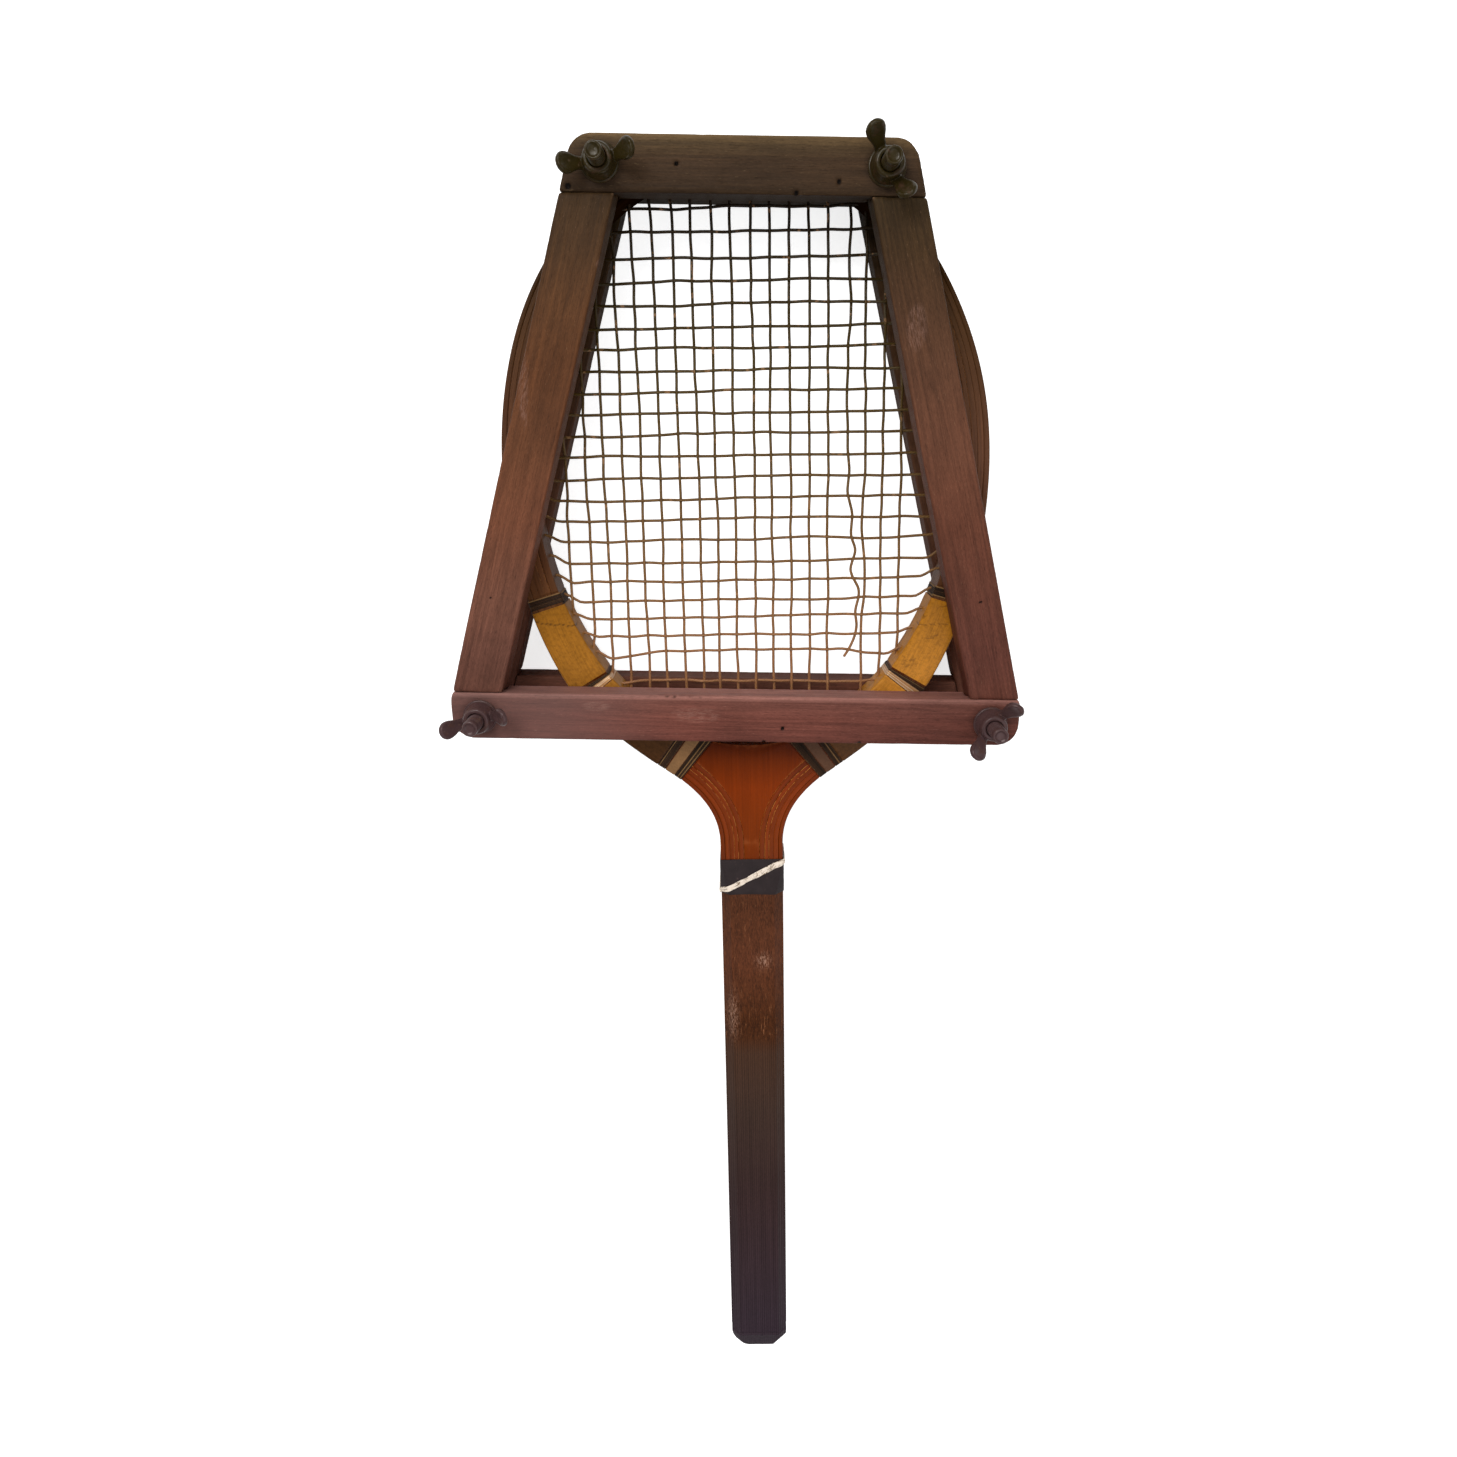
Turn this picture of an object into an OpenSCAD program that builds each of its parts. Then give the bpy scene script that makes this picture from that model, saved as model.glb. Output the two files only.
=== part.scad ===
// A wooden lawn racket lying in its screw-down wooden press.
// The press lies flat on its back: +Z is the side with the wing nuts, +Y points
// from the handle to the head of the racket. The origin is the centre of the
// rear face of the back frame's bottom rail. Millimetres.

/* [Press] */
// Thickness of every press bar
bar_t = 17.5; // [15:0.5:20]
// Width of the top and bottom rails
rail_w = 24; // [20:0.5:25]
// Width of a stile, measured along the rails
stile_w = 24.9; // [22:0.1:26]
// Distance between the centre lines of the two rails
rail_gap = 255; // [252:1:260]
// Half length of the bottom rail
press_half_bottom = 143.5; // [142:0.5:148]
// Half width of the press at the lower edge of the top rail
press_half_top = 82.1; // [80:0.1:84]
// Sideways slope of the stiles, millimetres out per millimetre down
stile_slope = 0.2615; // [0.24:0.001:0.27]
// Corner radius of the press
corner_r = 11; // [6:0.5:12]

/* [Bolts and nuts] */
// Half distance between the two top bolts
bolt_x_top = 63.5; // [61:0.5:65]
// Half distance between the two bottom bolts
bolt_x_bottom = 128.6; // [126.5:0.1:131]
// Diameter of the bolts
bolt_d = 7.94; // [6:0.01:8]
// Length of bolt standing above the front frame
bolt_stand = 24; // [22:1:30]
// Height of a wing nut's hub
hub_h = 9.5; // [8:0.5:10]
// Direction of the wings of each nut at rest: top left, top right, bottom left, bottom right
wing_angle = [13, 122, 15, 53];

/* [Racket head] */
// Overall length of the racket
racket_len = 679.5; // [675:0.1:690]
// Half width of the head outside the bow
head_half_w = 119.5; // [116:0.5:120]
// Height of the head above its widest line, outside the bow
head_top = 150; // [148:0.5:151]
// Fullness of the head above its widest line, 2 for an ellipse
fullness = 2.05; // [2:0.01:2.2]
// Semi-axis of the lower head curve, outside the bow
head_low = 169; // [165:0.5:172]
// Half width of the head opening
open_half_w = 104.5; // [102:0.5:105]
// Height of the opening above the widest line
open_top = 139.8; // [136:0.1:140.5]
// Depth of the opening below the widest line
open_low = 139.3; // [136:0.1:140]
// Thickness of the bow, front to back
bow_t = 19.9; // [18:0.1:22]
// Width of one leg of the bow in the throat
leg_w = 12.6; // [11:0.1:13]
// Turn of the racket within the press, degrees
skew = 1.84; // [0:0.01:2]
// Sideways place of the head centre in the press
racket_x = 3.3; // [0:0.1:4]
// Place of the widest line of the head along the press
racket_y = 120.2; // [119:0.1:121]

/* [Handle] */
// Width of the handle
handle_w = 33.6; // [33:0.1:36]
// Thickness of the handle
handle_t = 30; // [27:0.5:31]
// Where the neck tape starts, below the widest line of the head
tape_start = 203.6; // [202:0.1:206]
// Length of the neck tape
tape_len = 18.7; // [16:0.1:22]

/* [Strings] */
// Thickness of a string
string_d = 1.4; // [1.2:0.05:1.5]
// Pitch of the main strings
main_pitch = 9.28; // [9:0.01:9.5]
// Place of the middle of the main strings
main_mid = -1.8; // [-2.5:0.1:0]
// Number of holes for main strings
main_holes = 20; // [18:2:20]
// Pitch of the cross strings
cross_pitch = 10.08; // [9.8:0.01:10.2]
// Height of the top cross string above the widest line
cross_top = 122.3; // [118:0.1:124]
// Number of evenly spaced cross strings
cross_n = 22; // [20:1:22]
// Depth of the lowest cross string below the widest line
cross_low = 106.9; // [105:0.1:112]

/* [Hidden] */
$fn = 48;
rod_fn = 24; // facets of brads, strings and their holes

seat = 0.05;      // gap between a press frame and the bow
glue = 0.05;      // glue line between plies
hole_play = 0.08; // radial play of a bolt in a press bar
nut_play = 0.06;  // radial play of a bolt in a nut
half_bow = bow_t / 2;
half_handle = handle_w / 2;
mid_z = bar_t + seat + half_bow; // middle plane of the racket
press_t = 2 * mid_z;             // the two frames face each other across mid_z
press_low = -rail_w / 2;
press_high = rail_gap + rail_w / 2;

function clamp(v, low, high) = min(max(v, low), high);
function blend(a, b, u) = a * (1 - u) + b * u;
function smooth(u) = let (v = clamp(u, 0, 1)) v * v * (3 - 2 * v);
function unit(v) = v / norm(v);
function arc(centre, radius, from, to, n) =
  [for (i = [0:n]) let (a = from + (to - from) * i / n) centre + radius * [cos(a), sin(a)]];
function reversed(points) = [for (i = [len(points) - 1:-1:0]) points[i]];
function on_side(points, side) = [for (p = points) [side * p[0], p[1]]];
// The same line on the left, run the other way
function flip(points) = on_side(reversed(points), -1);
function skip_first(points) = [for (i = [1:len(points) - 1]) points[i]];

// ---------------------------------------------------------------- press
// Both frames are drawn in the front frame's place. "lift" raises the top rail.
stile_lean = atan(stile_slope);
back_lift = 4.2; // the back frame's top rail sits this much higher
lap_z = press_t - bar_t / 2;
lap_play = 0.02;  // gap in Z between rail and stile, each side of lap_z
lap_gap = 0.04;   // gap between rail and stile edges
cut_half_w = 200; // half width of cutting blocks, wider than the press
brad_r = 0.9;
brad_len = 13.7;
brad_depth = 14;  // from the frame's outer face to the tip
brad_play = 0.03;
bolt_head_r = 7;
bolt_head_h = 4.2;
bolt_sink = 0.3;  // bolt heads lie this far below the back face
bolt_tip = 1;     // height and width of the chamfer at the bolt's end

bolts = [[-bolt_x_top, rail_gap], [bolt_x_top, rail_gap], [-bolt_x_bottom, 0], [bolt_x_bottom, 0]];
function brads(lift) = let (y_top = rail_gap + lift - 8)
  [[-74, y_top], [75, y_top], [-136.5, 7], [136.5, 7]];

function stile_outer(y) = press_half_top + stile_slope * (rail_gap - rail_w / 2 - y);
function stile_inner(y) = stile_outer(y) - stile_w;
// Right-hand edge of a frame, bottom to top
function frame_edge(lift) = let (
    slope_start = rail_gap - rail_w / 2 - (press_half_bottom - press_half_top) / stile_slope,
    corner_y = press_high + lift - corner_r)
  concat(
    arc([press_half_bottom - corner_r, press_low + corner_r], corner_r, -90, 0, 8),
    [[press_half_bottom, slope_start]],
    arc([stile_outer(corner_y) - corner_r / cos(stile_lean), corner_y],
      corner_r, stile_lean, 90, 7));
// A strip along a stile, running past both ends; gap widens it inward, over outward
function stile_strip(side, gap, over) = let (y0 = press_low - 1, y1 = press_high + 7)
  on_side([[stile_inner(y0) - gap, y0], [stile_outer(y0) + over, y0],
    [stile_outer(y1) + over, y1], [stile_inner(y1) - gap, y1]], side);

module frame_blank(lift) {
  translate([0, 0, press_t - bar_t]) linear_extrude(bar_t)
    polygon(concat(frame_edge(lift), flip(frame_edge(lift))));
}
module frame_holes(lift) {
  for (b = bolts) translate([b[0], b[1], -1])
    cylinder(h = press_t + 2, r = bolt_d / 2 + hole_play);
  for (b = brads(lift)) translate([b[0], b[1], press_t - brad_depth - 0.2])
    cylinder(h = 20, r = brad_r + brad_play, $fn = rod_fn);
}
// A rail runs right across the outer half of the frame; the stiles tuck under it
module rail(top, lift) {
  difference() {
    intersection() {
      frame_blank(lift);
      translate([-cut_half_w, top ? rail_gap + lift - rail_w / 2 : press_low - 1, 0])
        cube([2 * cut_half_w, rail_w + 1, 200]);
    }
    for (side = [-1, 1]) translate([0, 0, press_t - bar_t - 1])
      linear_extrude(bar_t / 2 + 1 + lap_play) polygon(stile_strip(side, lap_gap, lap_gap + 4));
    frame_holes(lift);
  }
}
module stile(side, lift) {
  difference() {
    intersection() {
      frame_blank(lift);
      translate([0, 0, press_t - bar_t]) linear_extrude(bar_t) polygon(stile_strip(side, 0, 5));
    }
    translate([-cut_half_w, press_low - 5, lap_z - lap_play])
      cube([2 * cut_half_w, rail_w + 5 + lap_gap, 50]);
    translate([-cut_half_w, rail_gap + lift - rail_w / 2 - lap_gap, lap_z - lap_play])
      cube([2 * cut_half_w, rail_w + 5, 50]);
    frame_holes(lift);
  }
}
module brad_set(lift) {
  for (b = brads(lift)) translate([b[0], b[1], press_t - brad_depth])
    cylinder(h = brad_len, r = brad_r, $fn = rod_fn);
}
module to_back() { translate([0, 0, press_t]) mirror([0, 0, 1]) children(); }
module bolt_head_seats() {
  for (b = bolts) translate([b[0], b[1], -1])
    cylinder(h = bolt_head_h + 1.5, r = bolt_head_r + 0.3);
}

wood_c = [0.42, 0.27, 0.22];
brad_c = [0.25, 0.22, 0.2];
module front_bottom_rail() { color(wood_c) rail(false, 0); }
module front_top_rail() { color([0.33, 0.25, 0.18]) rail(true, 0); }
module front_left_stile() { color(wood_c) stile(-1, 0); }
module front_right_stile() { color(wood_c) stile(1, 0); }
module back_bottom_rail() {
  color(wood_c * 0.9) difference() {
    to_back() rail(false, back_lift);
    bolt_head_seats();
  }
}
module back_top_rail() {
  color(wood_c * 0.8) difference() {
    to_back() rail(true, back_lift);
    bolt_head_seats();
  }
}
module back_left_stile() { color(wood_c * 0.85) to_back() stile(-1, back_lift); }
module back_right_stile() { color(wood_c * 0.85) to_back() stile(1, back_lift); }
module front_lap_brads() { color(brad_c) brad_set(0); }
module back_lap_brads() { color(brad_c) to_back() brad_set(back_lift); }

// ---------------------------------------------------------------- bolts and nuts
iron_c = [0.24, 0.19, 0.17];
washer_t = 1.5;
washer_r = 8.6;
hub_r_low = 8;
hub_r_high = 6.3;
wing_rise = 52.8;    // tilt of a wing above the level, degrees
wing_t = 3;
wing_root = [6.2, 0, 2.45];
// Outline of a wing, x running outward: a narrow root and a round paddle
wing_outline = concat([[-1.5, -2.7], [4, -2.6]], arc([12.56, 0], 4.65, -112, 112, 16),
  [[4, 2.6], [-1.5, 2.7]]);

module carriage_bolts() {
  shank_len = press_t + bolt_stand - bolt_sink - bolt_tip;
  color(iron_c) for (b = bolts) translate([b[0], b[1], bolt_sink]) {
    cylinder(h = bolt_head_h, r1 = bolt_head_r - 1.3, r2 = bolt_head_r);
    cylinder(h = shank_len, r = bolt_d / 2);
    translate([0, 0, shank_len])
      cylinder(h = bolt_tip, r1 = bolt_d / 2, r2 = bolt_d / 2 - bolt_tip);
  }
}
module washers() {
  color(iron_c) for (b = bolts) translate([b[0], b[1], press_t + 0.02])
    difference() {
      cylinder(h = washer_t, r = washer_r);
      translate([0, 0, -1]) cylinder(h = 5, r = bolt_d / 2 + 0.3);
    }
}
// A wing is a flat paddle that rises outward from the hub, its broad face towards the bolt end
module wing_nut(k) {
  b = bolts[k];
  translate([b[0], b[1], press_t + washer_t + 0.05]) rotate([0, 0, wing_angle[k]])
    difference() {
      union() {
        cylinder(h = hub_h, r1 = hub_r_low, r2 = hub_r_high);
        for (turn = [0, 180])
          rotate([0, 0, turn]) translate(wing_root) rotate([0, -wing_rise, 0])
            translate([0, 0, -wing_t / 2]) linear_extrude(wing_t) polygon(wing_outline);
      }
      translate([0, 0, -1]) cylinder(h = 30, r = bolt_d / 2 + nut_play);
    }
}
module wing_nut_top_left() { color(iron_c) wing_nut(0); }
module wing_nut_top_right() { color(iron_c) wing_nut(1); }
module wing_nut_bottom_left() { color(iron_c) wing_nut(2); }
module wing_nut_bottom_right() { color(iron_c) wing_nut(3); }

// ---------------------------------------------------------------- bow outline
// The racket is drawn about the middle of its widest line, then placed in the press.
module in_press() { translate([racket_x, racket_y, mid_z]) rotate([0, 0, skew]) children(); }

// The outer edge is followed by s: 0 at the crown, 0 to 1 round the head to the
// shoulder, 1 to 2 down to the throat, 2 to 3 into the shaft. Right-hand half.
function bezier(p, u) = p[0] * pow(1 - u, 3) + p[1] * 3 * u * pow(1 - u, 2)
  + p[2] * 3 * u * u * (1 - u) + p[3] * pow(u, 3);
function bezier_dir(p, u) = unit((p[1] - p[0]) * pow(1 - u, 2)
  + (p[2] - p[1]) * 2 * u * (1 - u) + (p[3] - p[2]) * u * u);

// Point and heading on the head curve, by its parameter angle: 90 at the crown
function head_point(a) = a >= 0
  ? [head_half_w * pow(max(cos(a), 0), 2 / fullness), head_top * pow(sin(a), 2 / fullness)]
  : [head_half_w * cos(a), head_low * sin(a)];
function head_dir(a) = let (p = head_point(a)) a >= 0
  ? unit([pow(p[1] / head_top, fullness - 1) / head_top,
      -pow(p[0] / head_half_w, fullness - 1) / head_half_w])
  : unit([head_half_w * sin(a), -head_low * cos(a)]);

shoulder_angle = -40.6;
function head_angle(s) = 90 - (90 - shoulder_angle) * s;
shoulder = head_point(shoulder_angle);
shoulder_dir = head_dir(shoulder_angle);
throat = [45.6, -151.1];
throat_dir = [-cos(34.8), -sin(34.8)];
shaft_start = [half_handle, -194.5];
// Control points of the two curves below the head
shoulder_curve = [shoulder, shoulder + shoulder_dir * 14.2, throat - throat_dir * 18.2, throat];
throat_curve = [throat, throat + throat_dir * 16.5, shaft_start + [0, 21.3], shaft_start];

function edge(s) = s <= 1 ? head_point(head_angle(s))
  : s <= 2 ? bezier(shoulder_curve, s - 1) : bezier(throat_curve, min(s, 3) - 2);
function edge_dir(s) = s <= 1 ? head_dir(head_angle(s))
  : s <= 2 ? bezier_dir(shoulder_curve, s - 1) : bezier_dir(throat_curve, min(s, 3) - 2);
function inward(s) = let (d = edge_dir(s)) [d[1], -d[0]];

side_wall = head_half_w - open_half_w;
crown_wall = head_top - open_top;
wall_blend = 48; // the wall passes from crown to side width over this angle
// Where the inward normal at s meets the lower ellipse of the opening
function low_depth(s) = let (p = edge(s), n = inward(s),
    qa = pow(n[0] / open_half_w, 2) + pow(n[1] / open_low, 2),
    qb = 2 * (p[0] * n[0] / pow(open_half_w, 2) + p[1] * n[1] / pow(open_low, 2)),
    qc = pow(p[0] / open_half_w, 2) + pow(p[1] / open_low, 2) - 1)
  (-qb - sqrt(qb * qb - 4 * qa * qc)) / (2 * qa);
// Distance from the outer edge to the head opening, measured square to the edge
function depth(s) = head_angle(s) >= 0
  ? side_wall - (side_wall - crown_wall) * smooth(head_angle(s) / wall_blend)
  : low_depth(s);

horn_s = 0.875; // where the horns of the wedge begin
horn_end = edge(horn_s) + inward(horn_s) * depth(horn_s);
horn_angle = asin(horn_end[1] / open_low);
// The lower edge of the opening from its lowest point to the end of a horn, gap above the wood
function horn_line(gap) = [for (i = [0:32]) let (a = -90 + (horn_angle + 90) * i / 32)
  [(open_half_w - gap) * cos(a), (open_low - gap) * sin(a)]];

// Width of the bow at s: the full wall round the head, narrowing to leg_w below
function leg(s) = let (m = smooth((s - 0.845) / 0.13)) m >= 1 ? leg_w : blend(depth(s), leg_w, m);
// A point a fraction of the way through the bow, moved inward by gap
function bow_point(s, fraction, gap) = edge(s) + inward(s) * (leg(s) * fraction + gap);
stations = concat([for (i = [0:40]) i / 40], [for (i = [1:10]) 1 + i / 10],
  [for (i = [1:12]) 2 + i / 12]);

// The two legs run on down the shaft and taper on their inner side
butt_len = 18;
taper_len = 105;
taper_end_x = 1.5;
butt_end = -(racket_len - head_top);
core_end = butt_end + butt_len;
function shaft_inner(y) =
  blend(half_handle - leg_w, taper_end_x, clamp((shaft_start[1] - y) / taper_len, 0, 1));
function shaft_line(fraction, gap) = [for (y = [-245, -299.5, core_end])
  [half_handle - (half_handle - shaft_inner(y)) * fraction - gap, y]];
function half_line(fraction, gap) =
  concat([for (s = stations) bow_point(s, fraction, gap)], shaft_line(fraction, gap));
function whole_line(fraction, gap) = let (half = half_line(fraction, gap))
  concat(flip(skip_first(half)), half);

// ---------------------------------------------------------------- strings and their holes
hole_r = 1.0;
layer = string_d / 2 + 0.03; // main strings lie this far in front of the middle plane, crosses behind
string_inset = 0.6;          // string ends stop this far inside the outer edge
drill_in = 8;                // drills run this far past the inner edge
drill_out = 6;               // and this far past the outer edge
wedge_depth = 17;            // middle main strings enter the wedge by this much
wedge_half_w = 42;           // strings farther out pass right through the bow
broken_string = 15;          // index of the broken main string
broken_end_y = -91;
low_cross_y = -50;           // only cross holes below this reach the wedge and wraps

function main_x(i) = main_mid + (i - (main_holes - 1) / 2) * main_pitch;
function cross_y(i) = i < cross_n ? cross_top - i * cross_pitch : -cross_low;
function round_off(v) = sqrt(max(0, 1 - v * v));
function full_off(v) = pow(max(0, 1 - pow(abs(v), fullness)), 1 / fullness);
function out_top(x) = head_top * full_off(x / head_half_w);
function in_top(x) = open_top * full_off(x / open_half_w);
function in_low(x) = -open_low * round_off(x / open_half_w);
function out_side(y) = head_half_w * (y >= 0 ? full_off(y / head_top) : round_off(y / head_low));
function in_side(y) = open_half_w * (y >= 0 ? full_off(y / open_top) : round_off(y / open_low));
// The outer edge between shoulder and throat, as its chord
function out_low(x) = throat[1]
  + (shoulder[1] - throat[1]) * (abs(x) - throat[0]) / (shoulder[0] - throat[0]);
function passes_bow(x) = abs(x) > wedge_half_w;

module rod_y(x, y0, y1, z, r) {
  translate([x, y0, z]) rotate([-90, 0, 0]) cylinder(h = y1 - y0, r = r, $fn = rod_fn);
}
module rod_x(x0, x1, y, z, r) {
  translate([x0, y, z]) rotate([0, 90, 0]) cylinder(h = x1 - x0, r = r, $fn = rod_fn);
}
module top_drills() {
  for (i = [0:main_holes - 1]) let (x = main_x(i))
    rod_y(x, in_top(x) - drill_in, out_top(x) + drill_out, layer, hole_r);
}
// side is -1 for left, 1 for right, 0 for both
module low_drills(side) {
  for (i = [0:main_holes - 1]) let (x = main_x(i)) if (side == 0 || x * side > 0)
    rod_y(x, passes_bow(x) ? out_low(x) - 7 : in_low(x) - wedge_depth - 1,
      in_low(x) + drill_in, layer, hole_r);
}
module side_drills(side, y_max) {
  for (i = [0:cross_n]) let (y = cross_y(i)) if (y < y_max) {
    if (side >= 0) rod_x(in_side(y) - drill_in, out_side(y) + drill_out, y, -layer, hole_r);
    if (side <= 0) rod_x(-out_side(y) - drill_out, -in_side(y) + drill_in, y, -layer, hole_r);
  }
}
module main_string(x, low_y) {
  rod_y(x, low_y, out_top(x) - string_inset, layer, string_d / 2);
}

string_c = [0.36, 0.27, 0.18];
// The last main hole carries no string
module main_strings() {
  color(string_c) in_press()
    for (i = [0:main_holes - 2]) let (x = main_x(i)) if (i != broken_string)
      main_string(x, passes_bow(x) ? out_low(x) + 1 : in_low(x) - wedge_depth);
}
module broken_main_string() {
  color([0.5, 0.33, 0.22]) in_press() main_string(main_x(broken_string), broken_end_y);
}
module cross_strings() {
  color(string_c) in_press() for (i = [0:cross_n]) let (y = cross_y(i))
    rod_x(string_inset - out_side(y), out_side(y) - string_inset, y, -layer, string_d / 2);
}

// ---------------------------------------------------------------- bow, wedge and wraps
wrap_t = 0.5;                 // thickness of wraps and bindings
wrap_in = half_bow - wrap_t;  // half thickness left in the bow under the wraps
wrap_play = 0.03;
wrap_overlap = 0.3;           // makes the two parts of the wraps' room overlap
wrap_gap = 0.0005;            // trimmed from each end of a wrap, in s
// s values where the wraps meet, from the head down
upper_start = (90 + 21.2) / (90 - shoulder_angle);
upper_end = (90 + 23.4) / (90 - shoulder_angle);
lower_start = 0.998;
lower_end = 1.062;
wire_end = 1.145;
throat_start = 1.93;
strip_start = 2.02;
strip_end = 2.13;
throat_end = 2.22;
// Shares of the bow's width where the plies meet
outer_share = 0.60;
middle_share = 0.77;

function steps(from, to) = let (n = max(1, ceil((to - from) / 0.02)))
  [for (i = [0:n]) from + (to - from) * i / n];
// Outline over the bow from one s to another, grown beyond its outer and inner edges
function band(from, to, grow_out, grow_in) = concat(
  [for (s = steps(from, to)) edge(s) - inward(s) * grow_out],
  reversed([for (s = steps(from, to)) edge(s) + inward(s) * (depth(s) + grow_in)]));

module wrap_recess() {
  for (side = [-1, 1], face = [0, 1]) mirror([0, 0, face])
    translate([0, 0, wrap_in - wrap_play]) linear_extrude(3)
      polygon(on_side(band(upper_start - 0.002, throat_end + 0.002, 2, 2), side));
}
// The room inside the wraps: the outlines of bow and wedge, a little larger all round
core_end_s = 2.6;
horn_cut = horn_s - 0.0003;
core_stations = [for (s = stations) if (s > 0.79 && s < core_end_s) s];
bow_room = concat([for (s = core_stations) bow_point(s, 0, -wrap_play)],
  reversed([for (s = core_stations) bow_point(s, 1, s < horn_s ? wrap_play : wrap_overlap)]));
wedge_room = concat(horn_line(wrap_play),
  [edge(horn_cut) + inward(horn_cut) * (depth(horn_cut) + wrap_play),
    bow_point(horn_cut, 1, -wrap_overlap)],
  [for (s = stations) if (s > horn_s && s < core_end_s) bow_point(s, 1, -wrap_overlap)],
  [[0, -185]]);
module wrap_core(side) {
  translate([0, 0, -wrap_in]) linear_extrude(2 * wrap_in) {
    polygon(on_side(bow_room, side));
    polygon(on_side(wedge_room, side));
  }
}
module sleeve(side, from, to) {
  difference() {
    translate([0, 0, -half_bow]) linear_extrude(bow_t)
      polygon(on_side(band(from + wrap_gap, to - wrap_gap, wrap_t, wrap_t), side));
    wrap_core(side);
    low_drills(side);
    side_drills(side, low_cross_y);
  }
}
module ply(from, to) {
  difference() {
    translate([0, 0, -half_bow]) linear_extrude(bow_t)
      polygon(concat(whole_line(from, from > 0 ? glue / 2 : 0),
        reversed(whole_line(to, -glue / 2))));
    wrap_recess();
    top_drills();
    low_drills(0);
    side_drills(0, 200);
  }
}
module bow_outer_ply() { color([0.5, 0.27, 0.14]) in_press() ply(0, outer_share); }
module bow_middle_ply() { color([0.62, 0.4, 0.22]) in_press() ply(outer_share, middle_share); }
module bow_inner_ply() { color([0.46, 0.24, 0.12]) in_press() ply(middle_share, 1); }

// The wedge fills the throat between the legs and runs down the shaft
module throat_wedge() {
  half = concat(horn_line(0), [bow_point(horn_s, 1, glue)],
    [for (s = stations) if (s > horn_s) bow_point(s, 1, glue)], shaft_line(1, glue));
  color([0.58, 0.25, 0.09]) in_press() difference() {
    translate([0, 0, -half_bow]) linear_extrude(bow_t)
      polygon(concat(skip_first(half), flip(half)));
    wrap_recess();
    low_drills(0);
    side_drills(0, low_cross_y);
  }
}

module throat_binding_pair(side) {
  sleeve(side, throat_start, strip_start);
  sleeve(side, strip_end, throat_end);
}
amber = [0.72, 0.48, 0.16];
dark = [0.2, 0.15, 0.12];
wire_c = [0.8, 0.6, 0.4];
strip_c = [0.55, 0.42, 0.28];
module left_shoulder_wrap() { color(amber) in_press() sleeve(-1, upper_end, lower_start); }
module right_shoulder_wrap() { color(amber) in_press() sleeve(1, upper_end, lower_start); }
module left_throat_wrap() { color(amber) in_press() sleeve(-1, wire_end, throat_start); }
module right_throat_wrap() { color(amber) in_press() sleeve(1, wire_end, throat_start); }
module left_upper_binding() { color(dark) in_press() sleeve(-1, upper_start, upper_end); }
module right_upper_binding() { color(dark) in_press() sleeve(1, upper_start, upper_end); }
module left_lower_binding() { color(dark) in_press() sleeve(-1, lower_start, lower_end); }
module right_lower_binding() { color(dark) in_press() sleeve(1, lower_start, lower_end); }
module left_wire_binding() { color(wire_c) in_press() sleeve(-1, lower_end, wire_end); }
module right_wire_binding() { color(wire_c) in_press() sleeve(1, lower_end, wire_end); }
module left_throat_bindings() { color(dark) in_press() throat_binding_pair(-1); }
module right_throat_bindings() { color(dark) in_press() throat_binding_pair(1); }
module left_throat_strip() { color(strip_c) in_press() sleeve(-1, strip_start, strip_end); }
module right_throat_strip() { color(strip_c) in_press() sleeve(1, strip_start, strip_end); }

// ---------------------------------------------------------------- handle
flat_z = half_bow + 0.02;          // the pallets are glued to the front and back of the shaft
pallet_t = handle_t / 2 - flat_z;
pallet_tip_t = 0.35;               // thickness at the feathered upper end
pallet_top = -tape_start - 0.1;
ramp_len = 20.3;                   // length of the feathered upper end of the pallets
slice_t = 0.02;
strap_w = 3.3;
strap_turn = 26;
strap_drop = 9.1;                  // from the start of the tape to the middle of the strap

// Thickness of a pallet at y, carried a little past both ends of the ramp
function rise(y) = pallet_tip_t
  + (pallet_t - pallet_tip_t) * clamp((pallet_top - y) / ramp_len, -0.12, 1.2);
function pallet_section(t) = [[-half_handle, flat_z], [half_handle, flat_z],
  [half_handle - t, flat_z + t], [t - half_handle, flat_z + t]];
// Section round both pallets of thickness t, grown all round by gap
function octagon(gap, t) = let (cut = t + 0.59 * gap, w = half_handle + gap, h = flat_z + t + gap)
  [[w, -h + cut], [w, h - cut], [w - cut, h], [cut - w, h],
    [-w, h - cut], [-w, cut - h], [cut - w, -h], [w - cut, -h]];

module slice(y, points) {
  translate([0, y, 0]) rotate([90, 0, 0]) linear_extrude(slice_t) polygon(points);
}
module pallet() {
  ramp_end = pallet_top - ramp_len;
  hull() {
    slice(pallet_top, pallet_section(pallet_tip_t));
    slice(ramp_end, pallet_section(pallet_t));
  }
  translate([0, ramp_end - slice_t, 0]) rotate([90, 0, 0])
    linear_extrude(ramp_end - slice_t - core_end) polygon(pallet_section(pallet_t));
}
// above and below say how far it runs past the two ends of the tape
module neck_sleeve(gap, above, below) {
  y0 = -tape_start + above;
  y1 = -tape_start - tape_len - below;
  hull() {
    slice(y0, octagon(gap, rise(y0)));
    slice(y1, octagon(gap, rise(y1)));
  }
}
handle_c = [0.34, 0.22, 0.16];
module handle_front_pallet() { color(handle_c) in_press() pallet(); }
module handle_back_pallet() { color(handle_c) in_press() mirror([0, 0, 1]) pallet(); }
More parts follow.
